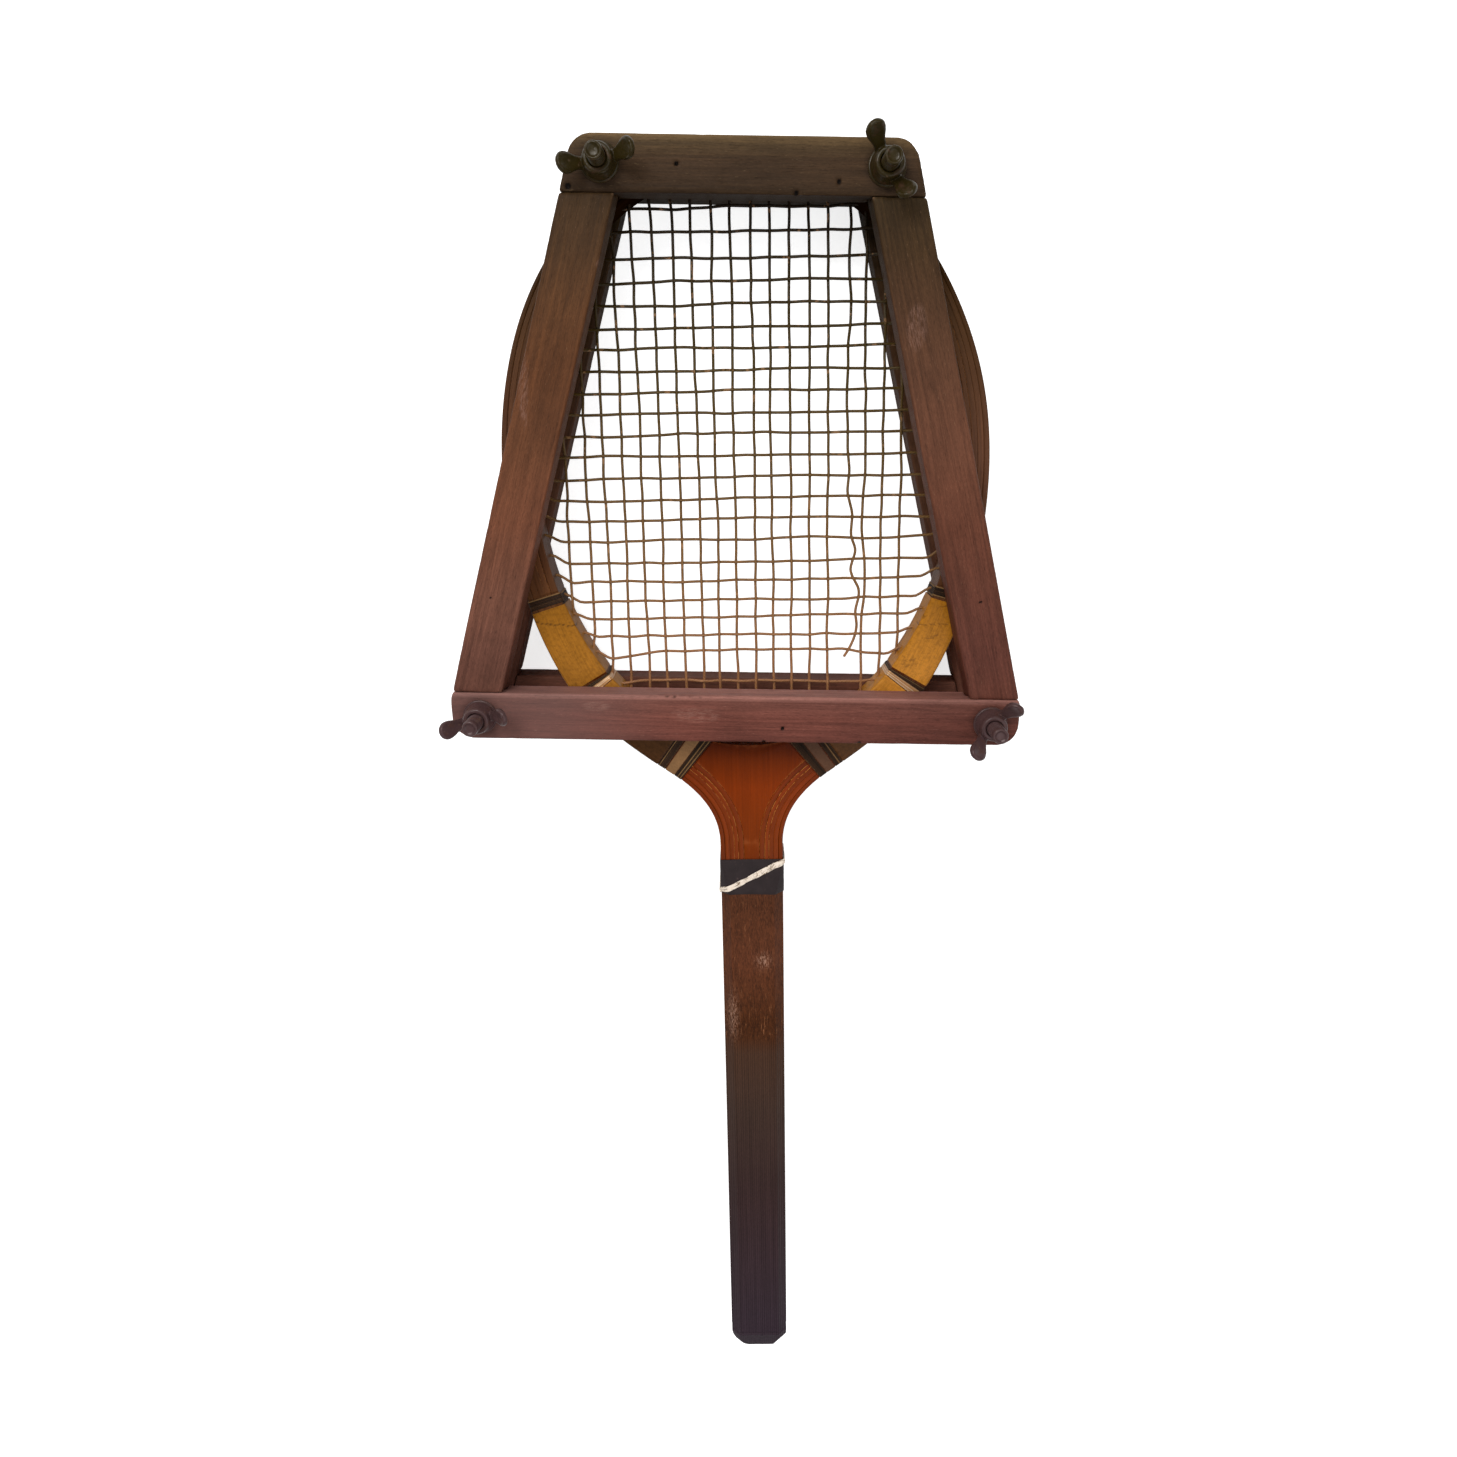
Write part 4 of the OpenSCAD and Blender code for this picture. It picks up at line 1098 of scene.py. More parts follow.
def on_bolts(node, make_shell, first_seed, body, sharp):
    shells = Shells()
    for k, (x, y) in enumerate(BOLTS):
        shells.add(*make_shell(x, y, first_seed + k))
    shells.place(node, "iron", IRON, "bronzed_iron", body, sharp)


def wing_nut_shell():
    """Cast wing nut about the origin, base at z 0, wings along +X and -X."""
    parts = [revolve(NUT_HUB, 64)]
    run, rise = math.cos(WING_RISE), math.sin(WING_RISE)
    for side in (1, -1):
        sections = []
        for dist, half, thick in WING_STATIONS:
            ring = round_rect(-half, half, thick / 2, thick * 0.42, 4, 4, 1)
            # broad face slightly dished near the tip
            bowl = 1 - np.clip(np.abs(ring[:, 0]) / max(half * 0.8, 0.1), 0, 1) ** 2
            dish = 0.45 * float(smooth_step(5, 11, dist)) * bowl * (ring[:, 1] > 0)
            height = ring[:, 1] - dish
            x = 6.2 + dist * run - height * rise
            z = 2.45 + dist * rise + height * run
            sections.append(np.stack([side * x, side * ring[:, 0], z], 1))
        parts.append(loft(sections))
    verts, faces, edges = remesh(parts, 0.36)
    verts = relax(verts, edges, 4)
    rough = 0.07 * fractal_noise(verts * 0.7, 3, 5) + 0.03 * fractal_noise(verts * 2.2, 2, 8)
    verts = verts + vertex_normals(verts, faces) * rough[:, None]
    verts[:, 2] = np.maximum(verts[:, 2], 0.0)
    return verts, faces


def wing_nuts():
    nut_verts, faces = wing_nut_shell()
    for (x, y), (place, degrees) in zip(BOLTS, WING_ANGLE.items()):
        cosine, sine = math.cos(math.radians(degrees)), math.sin(math.radians(degrees))
        rotation = np.array([[cosine, -sine, 0], [sine, cosine, 0], [0, 0, 1]])
        verts = nut_verts @ rotation.T + np.array([x, y, PRESS_T + 1.55])
        add_piece("wing_nut_" + place, "cast", (verts, faces), IRON,
                  "nut_" + place)


brads("front")
brads("back")
on_bolts("carriage_bolts", bolt_shell, 50, "back_frame", sharp=60)
on_bolts("washers", washer_shell, 61, "front_frame", sharp=50)
wing_nuts()


# ---------------------------------------------------------------- racket outline
# The right-hand half of the bow's outer edge is measured by pos: 0 at the crown, 1 at the
# shoulder, 2 at the throat, 3 at the neck. The left half is its mirror image.
SHOULDER_T = -40.6                   # the shoulder's angle on the head's oval


def oval_point(degrees):
    angle = math.radians(degrees)
    if degrees >= 0:
        return np.array([HEAD_A * max(math.cos(angle), 0) ** (2 / FULLNESS),
                         HEAD_TOP * math.sin(angle) ** (2 / FULLNESS)])
    return np.array([HEAD_A * math.cos(angle), HEAD_LOW * math.sin(angle)])


def oval_direction(degrees):
    angle = math.radians(degrees)
    if degrees >= 0:
        x, y = oval_point(degrees)
        return unit([(y / HEAD_TOP) ** (FULLNESS - 1) / HEAD_TOP,
                     -(x / HEAD_A) ** (FULLNESS - 1) / HEAD_A])
    return unit([HEAD_A * math.sin(angle), -HEAD_LOW * math.cos(angle)])


SHOULDER, SHOULDER_DIR = oval_point(SHOULDER_T), oval_direction(SHOULDER_T)
THROAT = np.array([45.6, -151.1])
THROAT_DIR = np.array([-math.cos(math.radians(34.8)), -math.sin(math.radians(34.8))])
NECK = np.array([HALF_NECK, -194.5])
# two cubic curves below the shoulder
UPPER_CURVE = (SHOULDER, SHOULDER + SHOULDER_DIR * 14.2, THROAT - THROAT_DIR * 18.2, THROAT)
LOWER_CURVE = (THROAT, THROAT + THROAT_DIR * 16.5, NECK + np.array([0, 21.3]), NECK)


def curve_point(a, b, c, d, t):
    return a * (1 - t) ** 3 + b * 3 * t * (1 - t) ** 2 + c * 3 * t * t * (1 - t) + d * t ** 3


def curve_direction(a, b, c, d, t):
    return unit((b - a) * (1 - t) ** 2 + (c - b) * 2 * t * (1 - t) + (d - c) * t * t)


def edge_point(pos):
    if pos <= 1:
        return oval_point(90 - (90 - SHOULDER_T) * pos)
    if pos <= 2:
        return curve_point(*UPPER_CURVE, pos - 1)
    return curve_point(*LOWER_CURVE, min(pos, 3) - 2)


def edge_direction(pos):
    if pos <= 1:
        return oval_direction(90 - (90 - SHOULDER_T) * pos)
    if pos <= 2:
        return curve_direction(*UPPER_CURVE, pos - 1)
    return curve_direction(*LOWER_CURVE, min(pos, 3) - 2)


def inward(pos):
    x, y = edge_direction(pos)
    return np.array([y, -x])


def opening_depth(pos):
    """Distance from the outer edge in to the opening."""
    degrees = 90 - pos * (90 - SHOULDER_T)
    if degrees >= 0:
        part = min(degrees / 48, 1)
        change = HEAD_A - OPEN_A - HEAD_TOP + OPEN_TOP
        return HEAD_A - OPEN_A - change * part * part * (3 - 2 * part)
    start, into = edge_point(pos), inward(pos)
    # where a ray inwards first meets the opening's lower oval
    qa = (into[0] / OPEN_A) ** 2 + (into[1] / OPEN_LOW) ** 2
    qb = 2 * (start[0] * into[0] / OPEN_A ** 2 + start[1] * into[1] / OPEN_LOW ** 2)
    qc = (start[0] / OPEN_A) ** 2 + (start[1] / OPEN_LOW) ** 2 - 1
    return (-qb - math.sqrt(max(qb * qb - 4 * qa * qc, 0))) / (2 * qa)


def leg_width(pos):
    """Width of the bent plies: the full depth round the head, LEG_W below it."""
    part = min(max((pos - 0.845) / 0.13, 0), 1)
    blend = part * part * (3 - 2 * part)
    return LEG_W if blend >= 1 else opening_depth(pos) * (1 - blend) + LEG_W * blend


def leg_inner_point(pos):
    return edge_point(pos) + inward(pos) * (leg_width(pos) + 0.05)


def core_half(y):
    """Half width of the core between the plies, in the shaft."""
    part = min(max((NECK[1] - y) / 105, 0), 1)
    return (HALF_NECK - LEG_W) * (1 - part) + 1.5 * part


def to_world(points):
    """(n, 3) racket-frame mm to world mm."""
    points = np.asarray(points, float)
    cosine, sine = math.cos(SKEW), math.sin(SKEW)
    placed = points.copy()
    placed[:, 0] = RACKET_X + cosine * points[:, 0] - sine * points[:, 1]
    placed[:, 1] = RACKET_Y + sine * points[:, 0] + cosine * points[:, 1]
    placed[:, 2] = MID_Z + points[:, 2]
    return placed


# places of the bindings and wraps, as pos down each side
UPPER_0, UPPER_1 = (90 + 21.2) / (90 - SHOULDER_T), (90 + 23.4) / (90 - SHOULDER_T)
LOWER_0, LOWER_1, WIRE_1 = 0.998, 1.062, 1.145
THROAT_0, THROAT_1, STRIP_1, THROAT_2 = 1.93, 2.02, 2.13, 2.22
HORN = 0.875                         # where the throat wedge's tips end
THIN_HALF = 9.42                     # half thickness under the wraps


# ---------------------------------------------------------------- bow plies
def half_stations():
    """(kind, pos or y, run length) down the right half, crown to the end of the core."""
    steps = [UPPER_0 - 0.0035, UPPER_0 - 0.0015, THROAT_2 + 0.0015, THROAT_2 + 0.0045]
    places = sorted(set([round(i / 132, 5) for i in range(133)]
                        + [round(1 + i / 32, 5) for i in range(1, 33)]
                        + [round(2 + i / 26, 5) for i in range(1, 27)] + steps))
    stations, run, last = [], 0.0, None
    for pos in places:
        point = edge_point(pos)
        if last is not None:
            run += float(np.linalg.norm(point - last))
        last = point
        stations.append(("edge", pos, run))
    for y in list(np.arange(-198.0, CORE_END, -6.0)) + [CORE_END]:
        stations.append(("shaft", float(y), run + (NECK[1] - y)))
    return stations


def station_frame(kind, place):
    """Edge point, inward direction, leg width and half thickness at a station."""
    if kind == "shaft":
        return (np.array([HALF_NECK, place]), np.array([-1.0, 0.0]),
                HALF_NECK - core_half(place), HALF_BOW)
    thin = UPPER_0 - 0.0025 < place < THROAT_2 + 0.0025
    return (edge_point(place), inward(place), leg_width(place),
            THIN_HALF if thin else HALF_BOW)


HALF = half_stations()
ROUND_THE_HEAD = [(-1, st) for st in reversed(HALF[1:])] + [(1, st) for st in HALF]


def add_ply(shells, start, end, gap_out, gap_in, radius, tone, glue):
    """One lamination right round the head, from the left end of the core to the right."""
    sections, grains, edges, pales = [], [], [], []
    for side, (kind, place, run) in ROUND_THE_HEAD:
        point, into, width, half = station_frame(kind, place)
        outer, inner = width * start + gap_out, width * end - gap_in
        ring = round_rect(outer, inner, half, radius, 4, 3, 7)
        deep, z = ring[:, 0].copy(), ring[:, 1]
        if start == 0:               # string groove in the outer edge
            amount = float(1 - smooth_step(0.78, 0.84, place)) if kind == "edge" else 0.0
            near = np.clip(1 - (deep - outer) / 0.3, 0, 1)
            deep = deep + near * 1.45 * amount * np.clip(1 - (np.abs(z) / 2.6) ** 4, 0, 1)
        flat = point[None, :] + into[None, :] * deep[:, None]
        # the upper part of the head has warped a little to the left
        warp = 1.2 * math.exp(-((point[1] - 92) / 42.0) ** 2)
        sections.append(np.stack([side * flat[:, 0] - warp, flat[:, 1], z], 1))
        grains.append(np.stack([np.full(len(deep), side * run), deep + start * 31,
                                z + side * 3.0], 1))
        edges.append(np.minimum(np.abs(deep - outer) + 9,
                                np.abs(inner - deep) + (0 if glue else 9)))
        low = kind == "shaft" or place > 1.6
        pales.append(np.full(len(deep), 1.0 if low else (0.3 if end < 1 else 0.0)))
    verts, faces = loft(sections)
    shells.add(to_world(verts), faces, gc=np.concatenate(grains),
               edge=np.concatenate(edges), tone=tone, pale=np.concatenate(pales))


# start and end as parts of the leg's width, outer gap, inner gap, corner radius, tone,
# and whether a pale line shows at the inner edge
PLIES = {
    "outer": [(0.0, 0.20, 0.0, 0.02, 0.75, -0.15, False),
              (0.20, 0.40, 0.02, 0.02, 0.22, 0.35, False),
              (0.40, 0.60, 0.02, 0.02, 0.22, 0.0, True)],
    "middle": [(0.60, 0.77, 0.03, 0.03, 0.22, 0.5, True)],
    "inner": [(0.77, 1.0, 0.03, 0.02, 0.5, -0.05, True)],
}
for name, plies in PLIES.items():
    shells = Shells()
    for ply in plies:
        add_ply(shells, *ply)
    shells.place("bow_" + name + "_ply", "wood", BOW_WOOD, "bow_wood", sharp=40)


# ---------------------------------------------------------------- throat wedge
def opening_low_point(angle):
    return np.array([OPEN_A * math.cos(angle), OPEN_LOW * math.sin(angle)])


def opening_angle(point):
    return math.atan2(point[1] / OPEN_LOW, point[0] / OPEN_A)


def wedge_columns():
    """(bow's inner line, opening, half thickness) on the right-hand half, tip first."""
    columns = []
    for i in range(57):
        pos = HORN + (THROAT_2 - HORN) * i / 56
        high = edge_point(pos) + inward(pos) * max(opening_depth(pos), leg_width(pos) + 0.15)
        columns.append((leg_inner_point(pos), high, THIN_HALF))
    start, end, count = opening_angle(columns[-1][1]), -math.pi / 2, 22
    for i in range(count + 1):
        low = leg_inner_point(THROAT_2 + 0.004 + (3 - THROAT_2 - 0.004) * i / count)
        angle = start + (end * 0.999 - start) * (i / count) ** 0.9 * 0.86
        columns.append((low, opening_low_point(angle), HALF_BOW))
    # across to the middle
    last_low, last_high, _ = columns[-1]
    start = opening_angle(last_high)
    for i in (1, 2, 3):
        part = i / 3
        high = opening_low_point(start + (end - start) * part)
        if i == 3:
            high[0] = 0.0
        columns.append((np.array([last_low[0] * (1 - part), NECK[1]]), high, HALF_BOW))
    return columns


def plate_faces(columns, rows):
    """Faces of a plate: a grid of front points, then the same grid of back points."""
    back = columns * rows
    faces = []
    for i in range(columns - 1):
        for j in range(rows - 1):
            a = i * rows + j
            faces.append((a, a + 1, a + rows + 1, a + rows))
            faces.append((back + a, back + a + rows, back + a + rows + 1, back + a + 1))
        a = i * rows
        faces.append((a, a + rows, back + a + rows, back + a))
        a = i * rows + rows - 1
        faces.append((a, back + a, back + a + rows, a + rows))
    for j in range(rows - 1):
        faces.append((j, back + j, back + j + 1, j + 1))
        a = (columns - 1) * rows + j
        faces.append((a, a + 1, back + a + 1, back + a))
    return faces


def throat_wedge():
    half = wedge_columns()
    columns = [(1, column) for column in half]
    columns += [(-1, column) for column in reversed(half[:-1])]
    steps = 14
    front, back, grain, edge = [], [], [], []
    for side, (low, high, thick) in columns:
        for j in range(steps + 1):
            point = low + (high - low) * (j / steps)
            x, y = side * point[0], point[1]
            # eased towards the opening
            ease = 0.5 * (1 - min(1, float(np.linalg.norm(high - point)) / 1.2)) ** 2
            front.append((x, y, thick - ease))
            back.append((x, y, -thick + ease))
            grain.append((y, x, 0))
            edge.append(float(np.linalg.norm(point - low)) if thick == HALF_BOW else 9.0)
    grain = np.array(grain + grain, float)
    grain[len(front):, 2] = 20
    shells = Shells()
    shells.add(to_world(np.array(front + back)), plate_faces(len(columns), steps + 1),
               gc=grain, edge=np.array(edge + edge), tone=0.0, pale=1.0)
    # the core's tail down the handle
    sections, edges = [], []
    for y in [NECK[1]] + list(np.arange(-200.0, CORE_END, -7.0)) + [CORE_END]:
        width = core_half(y) - 0.05
        ring = round_rect(-width, width, HALF_BOW, 0.25, 3, 5, 4)
        sections.append(at_y(ring, y))
        edges.append(np.minimum(9.0, width - np.abs(ring[:, 0])))
    verts, faces = loft(sections)
    shells.add(to_world(verts), faces, gc=verts[:, [1, 0, 2]], edge=np.concatenate(edges),
               tone=0.0, pale=1.0)
    shells.place("throat_wedge", "wood", WEDGE_WOOD, "wedge_wood", sharp=35)


throat_wedge()


# ---------------------------------------------------------------- wraps and bindings
def band_ring(pos, inset):
    """Section of a wrap, inset from its outer surface: racket-frame points and (d, z)."""
    ring = round_rect(-0.5 + inset, opening_depth(pos) + 0.5 - inset, HALF_BOW - inset,
                      max(0.25, 1.4 - inset), 5, 7, 7)
    flat = edge_point(pos)[None, :] + inward(pos)[None, :] * ring[:, 0:1]
    return np.stack([flat[:, 0], flat[:, 1], ring[:, 1]], 1), ring


def run_of(pos):
    """Rough length in mm along the outer edge: 345 to the shoulder, then 62 and 60."""
    if pos <= 1:
        return 345.0 * pos
    return 345.0 + 62.0 * (pos - 1) if pos <= 2 else 407.0 + 60.0 * (pos - 2)


def dent_wrap(points, ring, pos, seed, crack):
    """Small dents, and a groove where the wrap has cracked across; returns points, mark."""
    mark = np.zeros(len(points))
    push = 0.05 * fractal_noise(points * 0.35, 3, seed)
    if crack:
        crack_pos, slant, amount = crack
        dist = (run_of(pos) - run_of(crack_pos) + slant * (ring[:, 0] - 8)
                + 0.5 * value_noise(points * 0.5, seed + 3))
        weight = np.exp(-(dist / 0.5) ** 2) * (ring[:, 1] > 0)
        push = push - 0.30 * amount * weight
        mark = np.maximum(mark, amount * weight)
    on_face = np.abs(ring[:, 1]) > HALF_BOW - 1.0
    across = np.sign(ring[:, 0] - opening_depth(pos) / 2)
    direction = np.where(on_face[:, None],
                         np.sign(ring[:, 1])[:, None] * np.array([0, 0, 1.0]),
                         across[:, None] * np.append(inward(pos), 0.0))
    return points + direction * np.minimum(push, 0.0)[:, None], mark


def sleeve(node, suffix, side, start, end, material, seed, crack=None):
    """Thin wrap round one leg from start to end, with an outer and an inner layer."""
    count = max(6, int((run_of(end) - run_of(start)) / 0.42))
    places = [start + 0.002 + (end - start - 0.004) * i / count for i in range(count + 1)]
    sections, grains, marks = [], [], []
    for outer, sequence in ((True, places), (False, places[::-1])):
        for pos in sequence:
            inset = 0.45
            if outer:
                from_end = min(pos - places[0], places[-1] - pos)
                inset = 0.22 * (1 - min(1, from_end / 0.012)) ** 2
            points, ring = band_ring(pos, inset)
            mark = np.zeros(len(points))
            if outer:
                points, mark = dent_wrap(points, ring, pos, seed, crack)
            points[:, 0] *= side
            sections.append(points)
            grains.append(np.stack([np.full(len(points), run_of(pos)), ring[:, 0] + 20,
                                    ring[:, 1]], 1))
            marks.append(mark)
    verts, faces = loft(sections, closed=True)
    zeros = np.zeros(len(verts))
    add_piece(node, suffix, (to_world(verts), faces), material,
              attrs={"gc": np.concatenate(grains), "mark": np.concatenate(marks),
                     "pale": zeros, "tone": zeros}, sharp=50)


def add_winding(shells, side, start, end, turns, radius, first_tone):
    """Thread or wire wound round the leg from start to end."""
    path, normals = [], []
    ring_count = len(band_ring(start, 0)[0])
    total = turns * ring_count
    for i in range(total + 1):
        pos = (start + (end - start) * (i / total) * (1 - 1.0 / (turns + 1))
               + (end - start) * 0.5 / (turns + 1))
        ring, _ = band_ring(pos, radius * 0.98)
        k = i % ring_count
        around = ring[(k + 1) % ring_count] - ring[k - 1]
        normal = np.cross(around, np.append(edge_direction(pos), 0.0))
        normal /= np.linalg.norm(normal)
        centre = edge_point(pos) + inward(pos) * opening_depth(pos) / 2
        if np.dot(normal, ring[k] - np.append(centre, 0.0)) < 0:
            normal = -normal
        path.append(ring[k])
        normals.append(normal)
    path, normals = np.array(path), np.array(normals)
    path[:, 0] *= side
    normals[:, 0] *= side
    sides = 6
    verts, faces, grain = tube(path, radius, sides, normals)
    step = np.clip(np.arange(len(verts)) // sides - 1, 0, total - 1)
    shells.add(to_world(verts), faces, gc=grain, tone=first_tone + np.floor(step / ring_count))


# node, suffix, material, slot, windings as (start, end, turns, thread radius, first tone)
BINDINGS = [
    ("upper_binding", "thread", THREAD, "dark_thread", [(UPPER_0, UPPER_1, 7, 0.36, 3)]),
    ("lower_binding", "thread", THREAD, "dark_thread", [(LOWER_0, LOWER_1, 8, 0.30, 20)]),
    ("wire_binding", "copper", WIRE, "copper_wire", [(LOWER_1, WIRE_1, 7, 0.42, 40)]),
    ("throat_bindings", "thread", THREAD, "dark_thread",
     [(THROAT_0, THROAT_1, 9, 0.33, 60), (STRIP_1, THROAT_2, 8, 0.33, 80)]),
]


def dress_leg(name, side, seed, strip, crack):
    sleeve(name + "_shoulder_wrap", "amber", side, UPPER_1, LOWER_0, AMBER,
           seed, crack)
    sleeve(name + "_throat_wrap", "amber", side, WIRE_1, THROAT_0, AMBER,
           seed + 7)
    sleeve(name + "_throat_strip", "pale", side, THROAT_1, STRIP_1, strip,
           seed + 11)
    for node, suffix, material, slot, windings in BINDINGS:
        shells = Shells()
        for start, end, turns, radius, tone in windings:
            add_winding(shells, side, start, end, turns, radius, tone + seed)
        shells.place(name + "_" + node, suffix, material, slot)


# crack: pos, slant, amount
dress_leg("left", -1, 100, LEFT_STRIP, crack=(0.893, -0.45, 1.0))
dress_leg("right", 1, 140, RIGHT_STRIP, crack=(0.903, -0.4, 0.8))


# ---------------------------------------------------------------- handle
FLAT_Z = HALF_BOW + 0.02             # where the facings start
FACING_T = HANDLE_T / 2 - FLAT_Z
RAMP_L = 20.3                        # length over which the facings reach full thickness
FACING_TOP = -TAPE_Y - 0.1


def facing_rise(y):
    """Thickness of a facing at y."""
    return 0.35 + (FACING_T - 0.35) * float(np.clip((FACING_TOP - y) / RAMP_L, 0, 1))


def octagon(right, left, half, cut):
    """Rectangle from -left to right and -half to half with its corners cut off."""
    return [(right, -half + cut), (right, half - cut), (right - cut, half),
            (cut - left, half), (-left, half - cut), (-left, cut - half),
            (cut - left, -half), (right - cut, -half)]


def handle_octagon(grow, rise):
    """Section (x, z) of the handle, grown outwards."""
    width = HALF_NECK + grow
    return octagon(width, width, FLAT_Z + rise + grow, max(0.4, rise + 0.59 * grow))


def comb_wave(x):
    return 0.5 + 0.5 * np.cos(2 * math.pi * x / COMB_PITCH)


def facing(side_name, seed):
    """Glued-on facing with chamfered edges; combed grooves on the lower part."""
    front = side_name == "front"
    heights = sorted(set([FACING_TOP - RAMP_L * i / 8 for i in range(9)]
                         + list(np.arange(FACING_TOP - RAMP_L, CORE_END, -2.6))
                         + [CORE_END]), reverse=True)
    sections, pales = [], []
    for y in heights:
        rise = facing_rise(y)
        right = [(HALF_NECK, FLAT_Z), (HALF_NECK - 0.10, FLAT_Z + 0.12),
                 (HALF_NECK - rise + 0.25, FLAT_Z + rise - 0.18),
                 (HALF_NECK - rise - 0.2, FLAT_Z + rise)]
        points, dist = resample(right + [(-x, z) for x, z in reversed(right)], 150)
        under = np.stack([np.linspace(-HALF_NECK + 1.0, HALF_NECK - 1.0, 14),
                          np.full(14, FLAT_Z)], 1)
        tangent = np.gradient(points, axis=0)
        normal = np.stack([tangent[:, 1], -tangent[:, 0]], 1)
        normal /= np.maximum(np.linalg.norm(normal, axis=1), 1e-9)[:, None]
        lower = float(1 - smooth_step(-317, -308, y))
        solid = at_y(points, y)
        uneven = 0.6 + 0.4 * value_noise(solid * np.array([0.3, 0.03, 0.3]), seed)
        groove = 0.13 * comb_wave(points[:, 0]) * uneven
        worn = fractal_noise(solid * np.array([0.35, 0.10, 0.35]), 3, seed + 2)
        push = -lower * (0.16 + groove) - (1 - lower) * (0.10 + 0.10 * worn) - 0.05
        push = push * smooth_step(0.2, 0.6, np.minimum(dist, dist[-1] - dist))
        if y > FACING_TOP - RAMP_L - 3:
            push = push * 0.3
        points = points + normal * push[:, None]
        section = at_y(np.vstack([points, under]), y)
        sections.append(section)
        pale = np.zeros(len(section))
        if front:                    # two pale scuffs
            x = section[:, 0]
            pale = (np.exp(-(((x - 5.5) / 3.4) ** 2 + ((y + 262) / 3.6) ** 2))
                    + 0.9 * np.exp(-(((x + 12.0) / 2.6) ** 2 + ((y + 296) / 12.0) ** 2)))
        pales.append(pale)
    verts, faces = loft(sections)
    grain = verts[:, [1, 0, 2]]
    racket_y = verts[:, 1].copy()
    if not front:
        verts[:, 2] *= -1
    add_piece("handle_" + side_name + "_pallet", "wood", (to_world(verts), faces), HANDLE,
              attrs={"gc": grain, "yl": racket_y,
                                    "pale": np.concatenate(pales)}, sharp=55)


# heights of the butt block's lower sections above its end
BUTT_HEIGHTS = [
    15.6, 14.9, 14.4, 14.0, 13.6, 13.2, 12.8, 12.4, 12.0, 11.4, 10.6, 9.4, 8.0, 6.6, 5.2, 3.8,
    2.6, 1.6, 0.9, 0.4, 0.1, 0.02]


def butt_block():
    """End block: left corner rounded, right corner cut off, and both faces eased off
    below a low ridge."""
    top = CORE_END - 0.07
    sections = []
    for y in [top, top - 1.5] + [BUTT_END + height for height in BUTT_HEIGHTS]:
        height = y - BUTT_END
        left = -9.0 * (1 - math.sqrt(max(0, 1 - (1 - min(height, 13.0) / 13.0) ** 2)))
        right = -5.9 * max(0.0, 1 - height / 8.2)
        taper = -5.5 * max(0.0, 1 - height / 12.6)
        ridge = (0.12 * math.exp(-((height - 12.6) / 0.6) ** 2)
                 - 0.62 * math.exp(-((height - 13.8) / 0.6) ** 2))
        shape = octagon(HALF_NECK + right, HALF_NECK + left,
                        HANDLE_T / 2 + taper + ridge - 0.12, max(0.8, 5.03 + 0.5 * taper))
        points, _ = resample(shape, 160, closed=True)
        amount = 0.11 * float(smooth_step(14.2, 15.2, height))
        groove = (amount * comb_wave(points[:, 0])
                  + 0.08 * (1 + value_noise(at_y(points, y) * 0.5, 301)))
        sections.append(at_y(points - outward(points) * groove[:, None], y))
    verts, faces = loft(sections)
    add_piece("butt_block", "wood", (to_world(verts), faces), BUTT,
              attrs={"gc": verts[:, [1, 0, 2]], "yl": verts[:, 1],
                     "pale": np.zeros(len(verts))}, sharp=35)


def neck_ring(y, grow, count):
    return resample(handle_octagon(grow, facing_rise(y)), count, closed=True)


def neck_tape():
    heights = [-TAPE_Y - TAPE_L * i / 26 for i in range(27)]
    sections, grains = [], []
    for outer, sequence in ((True, heights), (False, heights[::-1])):
        for y in sequence:
            if outer:
                from_end = min(-TAPE_Y - y, y + TAPE_Y + TAPE_L)
                grow = 0.50 - 0.25 * (1 - min(1, from_end / 0.6)) ** 2
                points, dist = neck_ring(y, grow, 128)
                solid = at_y(points, y)
                wrinkle = (0.09 * fractal_noise(solid * np.array([0.10, 0.42, 0.10]), 3, 401)
                           - 0.05 + 0.02 * fractal_noise(solid * 1.4, 2, 402))
                points = points + outward(points) * wrinkle[:, None]
            else:
                points, dist = neck_ring(y, 0.06, 128)
            # the tape's ends run a little unevenly
            strength = 1 if y < -TAPE_Y - TAPE_L / 2 else 0.5
            near_end = (abs(y + TAPE_Y + TAPE_L / 2) / (TAPE_L / 2)) ** 4
            wobble = 0.28 * np.sin(dist * 0.16 + 1.0) * strength * near_end
            sections.append(np.stack([points[:, 0], y + wobble, points[:, 1]], 1))
            grains.append(np.stack([dist, np.full(len(points), y),
                                    np.zeros(len(points))], 1))
    verts, faces = loft(sections, closed=True)
    add_piece("neck_tape", "cloth", (to_world(verts), faces), TAPE,
              attrs={"gc": np.concatenate(grains)}, sharp=60)


STRAP_W, STRAP_SLANT, STRAP_Y = 2.9, math.radians(26), -212.7
# section of the strap: place across it from -1 to 1, height off the neck
STRAP_PROFILE = [
    (-1, 0.62), (-1, 0.88), (-0.93, 1.04), (-0.75, 1.12), (-0.4, 1.16), (0.0, 1.14),
    (0.4, 1.16), (0.75, 1.12), (0.93, 1.04), (1, 0.88), (1, 0.62), (0.0, 0.62)]


